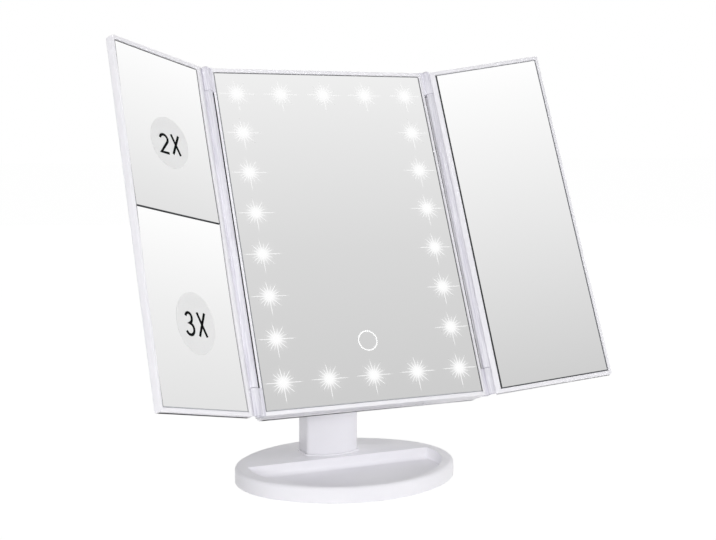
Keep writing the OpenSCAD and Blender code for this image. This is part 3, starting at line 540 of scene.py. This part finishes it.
def scatter_tree():
    """Node tree that puts one piece at every point, at one turn and size."""
    tree = bpy.data.node_groups.new("Scatter", "GeometryNodeTree")
    face = tree.interface
    face.new_socket("Spots", in_out="INPUT", socket_type="NodeSocketGeometry")
    face.new_socket("Piece", in_out="INPUT", socket_type="NodeSocketObject")
    face.new_socket("Turn", in_out="INPUT", socket_type="NodeSocketRotation")
    face.new_socket("Size", in_out="INPUT", socket_type="NodeSocketFloat")
    face.new_socket("Finish", in_out="INPUT", socket_type="NodeSocketMaterial")
    face.new_socket("Result", in_out="OUTPUT", socket_type="NodeSocketGeometry")
    given = add(tree, "NodeGroupInput").outputs
    source = add(tree, "GeometryNodeObjectInfo", {"Object": given["Piece"]}).outputs["Geometry"]
    placed = add(tree, "GeometryNodeInstanceOnPoints", {"Points": given["Spots"], "Instance": source,
                                                        "Rotation": given["Turn"], "Scale": given["Size"]})
    real = add(tree, "GeometryNodeRealizeInstances", {"Geometry": placed.outputs["Instances"]})
    painted = add(tree, "GeometryNodeSetMaterial", {"Geometry": real.outputs["Geometry"], "Material": given["Finish"]})
    add(tree, "NodeGroupOutput", {"Result": painted.outputs["Geometry"]})
    return tree


def scatter(name, source, spots, turn, size, material):
    """A plain mesh with a copy of the source at each spot."""
    holder = bpy.data.meshes.new(name + "_spots")
    holder.from_pydata([tuple(p) for p in spots], [], [])
    points = bpy.data.objects.new(name + "_spots", holder)
    bpy.context.scene.collection.objects.link(points)
    nodes = points.modifiers.new("Scatter", "NODES")
    nodes.node_group = bpy.data.node_groups.get("Scatter") or scatter_tree()
    sockets = {item.name: item.identifier for item in nodes.node_group.interface.items_tree}
    nodes[sockets["Piece"]] = source
    nodes[sockets["Turn"]] = turn
    nodes[sockets["Size"]] = size
    nodes[sockets["Finish"]] = material
    mesh = plain_mesh(points)
    bpy.data.objects.remove(points)
    return mesh


def head_turn():
    """Turns a piece drawn facing +Z so that it faces the user, upright on the glass."""
    return Matrix((Vector((1, 0, 0)), UP, -BACK)).transposed().to_euler()


def hidden_source(name, bm):
    mesh = bpy.data.meshes.new(name)
    bm.to_mesh(mesh)
    bm.free()
    source = bpy.data.objects.new(name, mesh)
    bpy.context.scene.collection.objects.link(source)
    return source


def pan_screw(name, head, height, length):
    """A pan-head screw along +Z, its seat at z = 0: a domed head with a cross recess, and a threaded shank."""
    shank, pitch = 1.15 * MM, 0.9 * MM
    profile = [(0, -height), (0.5 * head, -height), (0.85 * head, -0.8 * height), (head, -0.35 * height), (head, 0),
               (0.8 * shank, 0)]
    turns = int((length - 1.2 * MM) / pitch)
    for k in range(turns):
        low = 0.5 * MM + k * pitch
        profile += [(0.8 * shank, low), (shank, low + pitch / 2)]
    profile += [(0.75 * shank, length - 0.4 * MM), (0, length)]
    sides = 24
    bm = bmesh.new()
    rings = []
    for radius, z in profile:
        ring = []
        for i in range(sides if radius > 0 else 1):
            turn = 2 * math.pi * i / sides
            ring.append(bm.verts.new((radius * math.cos(turn), radius * math.sin(turn), z)))
        rings.append(ring)
    for a, b in zip(rings, rings[1:]):
        for i in range(sides):
            j = (i + 1) % sides
            corners = [a[i % len(a)], a[j % len(a)], b[j % len(b)], b[i % len(b)]]
            bm.faces.new(list(dict.fromkeys(corners)))
    bmesh.ops.recalc_face_normals(bm, faces=bm.faces)
    source = hidden_source(name, bm)
    arm, half = 0.6 * head, 0.17 * head
    floor, mouth = -0.35 * height, -height - 0.1 * MM
    bm = bmesh.new()
    outline = [(half, half), (arm, half), (arm, -half), (half, -half), (half, -arm), (-half, -arm), (-half, -half),
               (-arm, -half), (-arm, half), (-half, half), (-half, arm), (half, arm)]
    levels = [[bm.verts.new((x * share, y * share, z)) for x, y in outline] for z, share in ((floor, 0.75), (mouth, 1))]
    for i in range(len(outline)):
        j = (i + 1) % len(outline)
        bm.faces.new([levels[0][i], levels[0][j], levels[1][j], levels[1][i]])
    bm.faces.new(levels[0])
    bm.faces.new(levels[1])
    bmesh.ops.recalc_face_normals(bm, faces=bm.faces)
    cutter = hidden_source(name + "_recess", bm)
    recess = source.modifiers.new("Recess", "BOOLEAN")
    recess.object = cutter
    recess.operation = "DIFFERENCE"
    recess.solver = "EXACT"
    return source, cutter


def chip_body(half, low, high, dome):
    """A square chip facing +Z with rounded corners, whose top rises or sinks by dome in its middle."""
    sides = 24
    bm = bmesh.new()

    def loop(share, z):
        ring = []
        for i in range(sides):
            turn = 2 * math.pi * (i + 0.5) / sides
            c, s = math.cos(turn), math.sin(turn)
            reach = half * share / max(abs(c), abs(s)) if share > 0.8 else half * share
            reach = min(reach, 1.25 * half * share)
            ring.append(bm.verts.new((reach * c, reach * s, z)))
        return ring
    rings = [loop(1, low), loop(1, high - 0.1 * (high - low)), loop(0.94, high), loop(0.72, high),
             loop(0.6, high + dome)]
    for a, b in zip(rings, rings[1:]):
        band(bm, a, b)
    bm.faces.new(rings[0][::-1])
    bm.faces.new(rings[-1])
    bmesh.ops.recalc_face_normals(bm, faces=bm.faces)
    return bm


# ---------- sizes and colours ----------

class VanitySizes(bpy.types.PropertyGroup):
    mould_radius: FloatProperty(name="Moulded edge", description="Radius of the moulded edges",
                                default=0.0004, min=0, unit="LENGTH")
    window_radius: FloatProperty(name="Light window", description="Radius at which a light has half its brightness",
                                 default=0.0042, min=0.001, unit="LENGTH")
    # the glow round a light is painted glow, and its rays are painted glints
    glow_radius: FloatProperty(name="Glow", description="Radius of the glow round a light",
                               default=0.0125, min=0.002, unit="LENGTH")
    ray_length: FloatProperty(name="Ray", description="Length of the longest ray of a light",
                              default=0.0145, min=0.002, unit="LENGTH")
    ring_radius: FloatProperty(name="Touch ring", description="Outer radius of the touch ring",
                               default=0.0069, min=0.003, unit="LENGTH")
    ring_width: FloatProperty(name="Touch ring width", description="Width of the touch ring's line",
                              default=0.0009, min=0.0002, unit="LENGTH")
    mark_radius: FloatProperty(name="Mark", description="Radius of the magnification marks",
                               default=0.0163, min=0.005, unit="LENGTH")
    stroke: FloatProperty(name="Stroke", description="Width of the strokes of 2X and 3X",
                          default=0.0018, min=0.0002, unit="LENGTH")


class VanityStage(bpy.types.PropertyGroup):
    azimuth: FloatProperty(name="Azimuth", description="Camera's direction round the mirror",
                           default=math.radians(-24.53), unit="ROTATION")
    pitch: FloatProperty(name="Pitch", description="How far the camera looks down",
                         default=math.radians(6.82), unit="ROTATION")
    roll: FloatProperty(name="Roll", description="Camera's roll", default=math.radians(0.395), unit="ROTATION")
    stand_point: FloatVectorProperty(name="Camera place", description="Where the camera stands",
                                     default=(-0.34123, -0.76571, 0.24178), unit="LENGTH")
    focal: FloatProperty(name="Focal length", description="Lens for a 36 mm wide sensor", default=63.53, unit="CAMERA")
    key_power: FloatProperty(name="Front light", description="Power of the low front lamp", default=21, unit="POWER")
    side_power: FloatProperty(name="Side light", description="Power of the lamp on the right", default=12, unit="POWER")
    top_power: FloatProperty(name="Top light", description="Power of the high lamp on the left", default=4.6,
                             unit="POWER")
    rear_power: FloatProperty(name="Rear light", description="Power of the low lamp behind", default=7, unit="POWER")
    ambient: FloatProperty(name="Studio walls", description="Light that the pale walls give back", default=0.235)


# ---------- operators ----------

class VANITY_OT_foot(bpy.types.Operator):
    """Moulded foot with its tray, cover, pad and weight, and the neck"""
    bl_idname = "vanity.foot"
    bl_label = "Foot and neck"

    def execute(self, context):
        radius = context.scene.vanity_sizes.mould_radius
        for node in ("base_shell", "base_cover", "neck_post", "neck_cover"):
            softened(node, FINISHES["abs"], radius)
        softened("base_pad", FINISHES["rubber"], radius / 2)
        dressed("base_weight", FINISHES["plate"])
        return {"FINISHED"}


class VANITY_OT_head(bpy.types.Operator):
    """Moulded frame and rear housing of the head, with its door and switch"""
    bl_idname = "vanity.head"
    bl_label = "Head mouldings"

    def execute(self, context):
        radius = context.scene.vanity_sizes.mould_radius
        for node in ("centre_frame", "rear_housing", "battery_door"):
            made = softened(node, FINISHES["abs"], radius)
            if node == "centre_frame":
                streak_barrels(made)
        softened("switch_knob", FINISHES["nylon"], radius / 2)
        dressed("switch_body", FINISHES["nylon"])
        return {"FINISHED"}


class VANITY_OT_tilt_joint(bpy.types.Operator):
    """Bolt, nut, washers and caps between the head's ears and the neck"""
    bl_idname = "vanity.tilt_joint"
    bl_label = "Tilt joint"

    def execute(self, context):
        radius = context.scene.vanity_sizes.mould_radius
        softened("tilt_caps", FINISHES["abs"], radius)
        softened("tilt_washers", FINISHES["nylon"], radius / 2)
        softened("tilt_bolt", FINISHES["plated"], radius / 2)
        softened("tilt_nut", FINISHES["plated"], radius / 2)
        return {"FINISHED"}


class VANITY_OT_wings(bpy.types.Operator):
    """Moulded frames and backs of the two wings"""
    bl_idname = "vanity.wings"
    bl_label = "Wing mouldings"

    def execute(self, context):
        radius = context.scene.vanity_sizes.mould_radius
        for side in ("left", "right"):
            streak_barrels(softened(side + "_wing_frame", FINISHES["abs"], radius))
            softened(side + "_wing_back", FINISHES["abs"], radius)
        return {"FINISHED"}


class VANITY_OT_hinges(bpy.types.Operator):
    """Hinge pins, and a black strip in the gap beside each barrel: painted shade where the gap lies in shadow"""
    bl_idname = "vanity.hinges"
    bl_label = "Hinges"

    def execute(self, context):
        sizes = context.scene.vanity_sizes
        # outline from the frame's side to the rounded outer corner, as (distance from the frame, depth)
        outline = ((0.02, 0.4), (0.5, 0.42), (0.75, 0.6), (0.82, 0.9), (0.78, 1.3), (0.6, 1.6), (0.02, 1.65))
        for side, name in ((-1, "left"), (1, "right")):
            softened(name + "_hinge_pins", FINISHES["plated"], sizes.mould_radius / 2)
            # a black strip standing in the gap beside the barrel: painted shade, with a slight wobble along it
            bm = bmesh.new()
            rows = []
            for i in range(SHADE_STRIP_STEPS + 1):
                s = SHADE_STRIP_LOW + (SHADE_STRIP_HIGH - SHADE_STRIP_LOW) * i / SHADE_STRIP_STEPS
                wobble = 1 + 0.05 * math.sin(2.4 * i) + 0.04 * math.sin(5.1 * i + 1)
                rows.append([bm.verts.new(on_head(side * (HEAD_X + out * wobble * MM), n * MM, s)) for out, n in outline])
            for a, b in zip(rows, rows[1:]):
                band(bm, a, b)
            bm.faces.new(rows[0])
            bm.faces.new(rows[-1])
            bmesh.ops.recalc_face_normals(bm, faces=bm.faces)
            mesh = to_mesh(name + "_hinge_felt", bm, 60)
            piece(name + "_hinge_felt", mesh, [FINISHES["shade_strip"]], "head")
        return {"FINISHED"}


class VANITY_OT_glasses(bpy.types.Operator):
    """Centre glass, two magnifying glasses and right glass"""
    bl_idname = "vanity.glasses"
    bl_label = "Mirror glasses"

    def execute(self, context):
        half = GLASS_W / 2 - GLASS_GAP
        # the four edge finishes, from black to pale, are levels of painted shade: each side of a glass takes the level
        # of the shadow in the recess beside it
        black = ground_edge("black", "#26282B", "#1C1E21")
        dark = ground_edge("dark", "#5A5C60", "#4C4E52")
        grey = ground_edge("grey", "#8E9093", "#808286")
        pale = ground_edge("pale", "#BDBFC2", "#B2B4B8")
        back = backing_paint()
        # place, edges, dish, body, node, painted reflection from bottom to top, then the four edges' finish (a level of
        # painted shade) and width in mm
        plates = (
            ("centre_mirror", on_head, -half, half, GLASS_GAP, GLASS_TOP, 0, "head", "centre_glass",
             [(0, "#CDCDCD"), (0.45, "#D9D9D9"), (1, "#EFEFEF")], [grey, black, pale, dark], (0.5, 0.7, 0.5, 0.6)),
            ("left_mirror_2x", on_left, WING_X0, WING_X1, SPLIT_HIGH, GLASS_TOP, DISH_2X, "left_wing", "left_glass_2x",
             [(0, "#E2E2E2"), (0.5, "#F1F1F1"), (1, "#FDFDFD")], [black, dark, dark, black], (1, 0.4, 0.25, 0.8)),
            ("left_mirror_3x", on_left, WING_X0, WING_X1, GLASS_GAP, SPLIT_LOW, DISH_3X, "left_wing", "left_glass_3x",
             [(0, "#E3E3E3"), (0.5, "#EFEFEF"), (1, "#FEFEFE")], [dark, dark, pale, dark], (0.8, 0.4, 0.5, 0.25)),
            ("right_mirror", on_right, WING_X0, WING_X1, GLASS_GAP, GLASS_TOP, 0, "right_wing", "right_glass",
             [(0, "#CFCFCF"), (0.5, "#E9E9E9"), (1, "#FFFFFF")], [black, grey, dark, grey], (0.9, 0.5, 0.6, 0.5)))
        for name, place, a, b, s0, s1, dish, body, node, stops, edges, seams in plates:
            face = silvered_glass("glass_silvered_painted_reflection_" + name, s0, s1, stops)
            mirror_plate(name, place, a, b, s0, s1, dish, [face, back] + edges, [v * MM for v in seams], body, node)
        return {"FINISHED"}


class VANITY_OT_lights(bpy.types.Operator):
    """Light windows round the centre glass, with their painted glow and painted glint rays"""
    bl_idname = "vanity.lights"
    bl_label = "Lights"

    def execute(self, context):
        sizes = context.scene.vanity_sizes

        def flat(x, n, s):
            return Vector((x, s, n))
        # direction in degrees, share of the longest ray, strength: the star rays are painted glints
        rays = ((-1, 1, 1), (20, 0.62, 0.8), (36, 0.56, 0.8), (54, 0.72, 0.95), (75, 0.56, 0.8), (97, 0.76, 1),
                (116, 0.57, 0.8), (136, 0.66, 0.95), (158, 0.54, 0.8), (179, 0.95, 1), (198, 0.57, 0.8),
                (215, 0.62, 0.85), (234, 0.66, 0.95), (252, 0.57, 0.8), (271, 1, 1), (293, 0.6, 0.8),
                (316, 0.72, 0.95), (338, 0.57, 0.8))
        half = sizes.window_radius

        def fade(t):
            # half white at the window's edge, and a painted glow beyond it
            return (1 - t ** 4) / (1 + (t * sizes.glow_radius / half) ** 4.6)
        glow = hidden_source("glow_source", flat_disc(flat, 0, 0, 0, 0, sizes.glow_radius, 16, 32, fade))
        bm = bmesh.new()
        layer = bm.verts.layers.float.new("glow")
        for angle, share, strength in rays:
            turn = Matrix.Rotation(math.radians(angle), 3, "Z")
            reach = sizes.ray_length * share
            wide = RAY_HALF_WIDTH
            rows = [((0.5 * half, -wide, 0), (0.5 * half, 0, strength), (0.5 * half, wide, 0)),
                    ((0.75 * reach, -0.8 * wide, 0), (0.75 * reach, 0, 0.9 * strength), (0.75 * reach, 0.8 * wide, 0)),
                    ((reach, -0.3 * wide, 0), (reach, 0, 0), (reach, 0.3 * wide, 0))]
            verts = []
            for row in rows:
                verts.append([bm.verts.new(turn @ Vector((x, y, 0))) for x, y, value in row])
                for vert, (x, y, value) in zip(verts[-1], row):
                    vert[layer] = value
            for a, b in zip(verts, verts[1:]):
                for i in (0, 1):
                    bm.faces.new([a[i], b[i], b[i + 1], a[i + 1]])
        star = hidden_source("ray_source", bm)
        turn = head_turn()
        for name, source, proud, material in (
                ("light_windows", glow, GLOW_PROUD, light_glow("lens_frosted_lit_painted_glow")),
                ("light_rays", star, RAY_PROUD, light_glow("painted_glint_rays"))):
            spots = [on_head(x, GLASS_LIP - proud, s) for x, s in led_spots()]
            piece(name, scatter(name, source, spots, turn, 1.0, material), [material], "head")
            bpy.data.objects.remove(source)
        return {"FINISHED"}


class VANITY_OT_touch_ring(bpy.types.Operator):
    """Sand-blasted ring that marks the touch switch"""
    bl_idname = "vanity.touch_ring"
    bl_label = "Touch ring"

    def execute(self, context):
        sizes = context.scene.vanity_sizes
        bm = flat_disc(on_head, 0, TOUCH_UP, GLASS_LIP - DISC_PROUD, sizes.ring_radius - sizes.ring_width,
                       sizes.ring_radius, 1, 64)
        bmesh.ops.recalc_face_normals(bm, faces=bm.faces)
        frosted = frosted_print("glass_sandblasted_lit", "#FFFFFF", "#FAFAFA", 0.1)
        piece("touch_ring", to_mesh("touch_ring", bm), [frosted], "head")
        return {"FINISHED"}


class VANITY_OT_marks(bpy.types.Operator):
    """Printed discs that give the strength of the two magnifying glasses"""
    bl_idname = "vanity.marks"
    bl_label = "Magnification marks"

    def execute(self, context):
        sizes = context.scene.vanity_sizes
        film = frosted_print("film_printed_grey", "#ECECEC", "#EAEAEA", 0)
        ink = black_print()
        # middle and stretch of the disc; middle and size of the figure and of the X
        marks = (("mark_2x", (42.5, 171), 1.06, "two", (-5.0, -1.6), (8.6, 14), (5.1, -0.6), (8.6, 13.6),
                  dished(WING_X0, WING_X1, SPLIT_HIGH, GLASS_TOP, DISH_2X)),
                 ("mark_3x", (41.8, 53.4), 1.2, "three", (-5.5, -0.7), (8.4, 15.7), (5.2, -0.5), (8.7, 15.2),
                  dished(WING_X0, WING_X1, GLASS_GAP, SPLIT_LOW, DISH_3X)))
        for name, middle, stretch, figure, spot, size, cross, cross_size, depth in marks:
            r0, s0 = (v * MM for v in middle)

            def on_mark(u, proud, v):
                r, s = r0 - u, s0 + v
                return on_left(r, depth(r, s) - proud, s)

            def on_disc(u, proud, v):
                return on_mark(u, proud, v * stretch)
            bm = flat_disc(on_disc, 0, 0, DISC_PROUD, 0, sizes.mark_radius, 6, 64)
            bmesh.ops.recalc_face_normals(bm, faces=bm.faces)
            piece(name + "_disc", to_mesh(name + "_disc", bm), [film], "left_wing")
            bm = bmesh.new()
            spot, size, cross, cross_size = ([v * MM for v in pair] for pair in (spot, size, cross, cross_size))
            lines = cross_paths(cross, *cross_size, sizes.stroke)
            for path in [figure_path(figure, spot, *size, sizes.stroke)] + lines:
                brush(bm, on_mark, path, sizes.stroke, *FIGURE_PROUD)
            bmesh.ops.recalc_face_normals(bm, faces=bm.faces)
            piece(name + "_figures", to_mesh(name + "_figures", bm), [ink], "left_wing")
        return {"FINISHED"}


class VANITY_OT_screws(bpy.types.Operator):
    """Cross-recessed screws of the foot, the neck and the rear housing"""
    bl_idname = "vanity.screws"
    bl_label = "Screws"

    def execute(self, context):
        around = [math.radians(a) for a in (20, 52, 128, 160)]
        foot = [Vector((60.5 * MM * math.cos(a), 46 * MM * math.sin(a), FOOT_SEAT)) for a in around]
        neck = [Vector((0, NECK_SEAT, z * MM)) for z in (27, 131.9)]
        socket = [Vector((x * MM, NECK_BACK, 4.5 * MM)) for x in (-8, 8)]
        case = [on_head(x * MM, CASE_SEAT, s * MM) for x in (-70, 70) for s in (6, 116, 226)]
        upright = Matrix.Identity(3).to_euler()
        forward = Matrix.Rotation(math.radians(90), 3, "X").to_euler()
        # spots, turn, head radius and height, length, body
        rows = (("base_screws", foot, upright, 2.3, 0.7, 6, "stand"),
                ("neck_cover_screws", neck, forward, 2.3, 0.9, 7, "stand"),
                ("neck_foot_screws", socket, upright, 2.6, 1.2, 8, "stand"),
                ("housing_screws", case, head_turn(), 2.4, 1.6, 7.2, "head"))
        for node, spots, turn, wide, tall, length, body in rows:
            source, cutter = pan_screw(node + "_source", wide * MM, tall * MM, length * MM)
            mesh = scatter(node + "_finished", source, spots, turn, 1.0, FINISHES["plated"])
            made = piece(node + "_finished", mesh, [FINISHES["plated"]], body)
            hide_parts(node)
            bpy.data.objects.remove(source)
            bpy.data.objects.remove(cutter)
        return {"FINISHED"}


class VANITY_OT_electrics(bpy.types.Operator):
    """Boards, chips, socket, touch pad, cells and contacts, and the foam tape behind the glasses"""
    bl_idname = "vanity.electrics"
    bl_label = "Electrics"

    def execute(self, context):
        radius = context.scene.vanity_sizes.mould_radius
        for node in ("led_board", "control_board"):
            dressed(node, FINISHES[node])
        dressed("touch_sensor", FINISHES["copper"])
        for node in ("centre_glass_tape", "left_glass_tape", "right_glass_tape"):
            dressed(node, FINISHES["foam"])
        softened("usb_socket", FINISHES["plated"], radius / 4)
        softened("battery_contacts", FINISHES["plated"], radius / 4)
        cells = softened("battery_cells", FINISHES["sleeve"], radius)
        cells.data.materials.append(FINISHES["plated"])
        for face in cells.data.polygons:
            if abs(face.normal.dot(UP)) > 0.3:
                face.material_index = 1
        turn = head_turn()
        spots = [on_head(x, 4 * MM, s) for x, s in led_spots()]
        for name, half, low, high, dome, finish_name in (("led_packages", 1.4, -1.2, 0, -0.25, "package"),
                                                         ("led_phosphor", 0.95, -0.3, -0.06, 0.05, "phosphor")):
            source = hidden_source(name + "_source", chip_body(half * MM, low * MM, high * MM, dome * MM))
            mesh = scatter(name, source, spots, turn, 1.0, FINISHES[finish_name])
            made = piece(name, mesh, [FINISHES[finish_name]], "head")
            bpy.data.objects.remove(source)
            if name == "led_packages":
                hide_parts("led_chips")
        return {"FINISHED"}


class VANITY_OT_stage(bpy.types.Operator):
    """Pale floor, soft lamps, white surroundings and the camera"""
    bl_idname = "vanity.stage"
    bl_label = "Stage"

    def execute(self, context):
        setup = context.scene.vanity_stage
        bm = bmesh.new()
        bmesh.ops.create_grid(bm, x_segments=1, y_segments=1, size=6)
        mesh = bpy.data.meshes.new("floor")
        bm.to_mesh(mesh)
        bm.free()
        floor = bpy.data.objects.new("floor", mesh)
        context.scene.collection.objects.link(floor)
        mesh.materials.append(floor_paper())
        aim = Vector((0, 0, 0.12))
        # the mirrors show the white surroundings alone, so no lamp is mirrored
        lamps = (("front_lamp", (-0.9, -1.8, 0.5), (0.9, 0.5), setup.key_power),
                 ("side_lamp", (1.8, -0.5, 0.5), (0.8, 0.5), setup.side_power),
                 ("top_lamp", (-0.95, -1.1, 1.2), (1, 1), setup.top_power),
                 ("rear_lamp", (0.5, 2, 0.2), (1.2, 0.3), setup.rear_power))
        for name, place, size, power in lamps:
            lamp = bpy.data.lights.new(name, "AREA")
            lamp.shape = "RECTANGLE"
            lamp.size, lamp.size_y = size
            lamp.energy = power
            holder = bpy.data.objects.new(name, lamp)
            context.scene.collection.objects.link(holder)
            holder.location = place
            holder.rotation_euler = (aim - Vector(place)).to_track_quat("-Z", "Y").to_euler()
            holder.visible_glossy = False
        studio_world(context.scene, setup.ambient)
        look = Vector((-math.sin(setup.azimuth) * math.cos(setup.pitch),
                       math.cos(setup.azimuth) * math.cos(setup.pitch), -math.sin(setup.pitch)))
        right = Vector((math.cos(setup.azimuth), math.sin(setup.azimuth), 0))
        upright = right.cross(look)
        lens = bpy.data.cameras.new("camera")
        lens.sensor_width = 36
        lens.lens = setup.focal
        lens.clip_start = 0.01
        camera = bpy.data.objects.new("camera", lens)
        context.scene.collection.objects.link(camera)
        turned = Matrix.Rotation(setup.roll, 3, -look)
        axes = Matrix((turned @ right, turned @ upright, -look)).transposed()
        camera.matrix_world = Matrix.Translation(Vector(setup.stand_point)) @ axes.to_4x4()
        context.scene.camera = camera
        context.scene.view_settings.view_transform = "Standard"
        return {"FINISHED"}


def floor_paper():
    """White paper sweep: matt, with a faint felt grain. It looks white to the camera and keeps a soft shadow."""
    material, tree, shader = finish("paper_white_matt", Roughness=0.9)
    shader.inputs["Specular IOR Level"].default_value = 0.1
    tree.links.new(ramp(tree, grain(tree, 3 * MM), [(0.3, "#FCFCFC"), (0.7, "#FFFFFF")]), shader.inputs["Base Color"])
    share = add(tree, "ShaderNodeMath", {0: seen_directly(tree), 1: FLOOR_SHARE}, operation="MULTIPLY")
    white = add(tree, "ShaderNodeEmission", {"Strength": FLOOR_WHITE})
    mixed = add(tree, "ShaderNodeMixShader", {"Fac": share.outputs["Value"], 1: shader.outputs["BSDF"],
                                              2: white.outputs["Emission"]})
    tree.links.new(mixed.outputs["Shader"], tree.nodes["Material Output"].inputs["Surface"])
    return material


def studio_world(scene, ambient):
    """White to the camera and in reflections, and a plain grey light on everything."""
    world = bpy.data.worlds.new("studio")
    scene.world = world
    world.use_nodes = True
    tree = world.node_tree
    level = add(tree, "ShaderNodeMapRange", {"Value": seen_directly(tree), "To Min": ambient, "To Max": 1.0})
    background = tree.nodes["Background"]
    background.inputs["Color"].default_value = (1, 1, 1, 1)
    tree.links.new(level.outputs["Result"], background.inputs["Strength"])


class VANITY_PT_panel(bpy.types.Panel):
    """Sizes, stage and the steps that build the mirror"""
    bl_idname = "VANITY_PT_panel"
    bl_label = "Vanity mirror"
    bl_space_type = "VIEW_3D"
    bl_region_type = "UI"
    bl_category = "Vanity"

    def draw(self, context):
        for group in (context.scene.vanity_sizes, context.scene.vanity_stage):
            column = self.layout.column()
            for key in group.__annotations__:
                column.prop(group, key)
        for step in STEPS:
            self.layout.operator(step.bl_idname)


STEPS = (VANITY_OT_foot, VANITY_OT_head, VANITY_OT_tilt_joint, VANITY_OT_wings, VANITY_OT_hinges, VANITY_OT_glasses,
         VANITY_OT_lights, VANITY_OT_touch_ring, VANITY_OT_marks, VANITY_OT_screws, VANITY_OT_electrics,
         VANITY_OT_stage)
CLASSES = (VanitySizes, VanityStage) + STEPS + (VANITY_PT_panel,)
FINISHES = {}


def make_finishes():
    """One material for each finish that several pieces share."""
    FINISHES.update({
        "abs": satin_abs(),
        "barrel": shaded_streaked_abs(),
        "plated": plated_steel("steel_nickel_plated", "#C9CACC", "#A9ABAE", 0.28),
        "plate": plated_steel("steel_zinc_plate_rolled", "#9B9FA3", "#7F8387", 0.45),
        "copper": plated_steel("copper_foil_etched", "#D08A62", "#B87048", 0.35),
        "rubber": fine_grained("rubber_moulded_pad", "#C9CACF", "#BDBEC4", 0.85, 0.8 * MM, 0.06 * MM),
        "nylon": fine_grained("nylon_moulded_black", "#26272A", "#1B1C1E", 0.5, 0.6 * MM, 0.02 * MM),
        # black strip put in the hinge gaps as painted shade
        "shade_strip": fine_grained("black_strip_painted_shade", "#1D1D21", "#101013", 0.95, 0.4 * MM, 0.1 * MM),
        "foam": fine_grained("foam_tape_white_cells", "#D9D9D6", "#BFBFBC", 0.9, 0.5 * MM, 0.08 * MM),
        "led_board": fine_grained("fibreglass_white_mask", "#F2F2EE", "#E6E6E1", 0.4, 1.5 * MM, 0.02 * MM),
        "control_board": fine_grained("fibreglass_green_mask", "#1F6B45", "#18583A", 0.35, 1.5 * MM, 0.03 * MM),
        "sleeve": fine_grained("pvc_shrink_sleeve_grey", "#5F6C7A", "#566270", 0.3, 3 * MM, 0.02 * MM),
        "package": fine_grained("ppa_moulded_white", "#F6F6F2", "#ECECE6", 0.45, 0.3 * MM, 0.01 * MM),
        "phosphor": fine_grained("silicone_phosphor_yellow", "#F1D96B", "#E9CB52", 0.5, 0.2 * MM, 0.02 * MM)})


def register():
    for cls in CLASSES:
        bpy.utils.register_class(cls)
    bpy.types.Scene.vanity_sizes = PointerProperty(type=VanitySizes)
    bpy.types.Scene.vanity_stage = PointerProperty(type=VanityStage)


def unregister():
    del bpy.types.Scene.vanity_stage
    del bpy.types.Scene.vanity_sizes
    for cls in reversed(CLASSES):
        bpy.utils.unregister_class(cls)


def main():
    register()
    make_finishes()
    for step in STEPS:
        group, name = step.bl_idname.split(".")
        getattr(getattr(bpy.ops, group), name)()


if __name__ == "__main__":
    main()
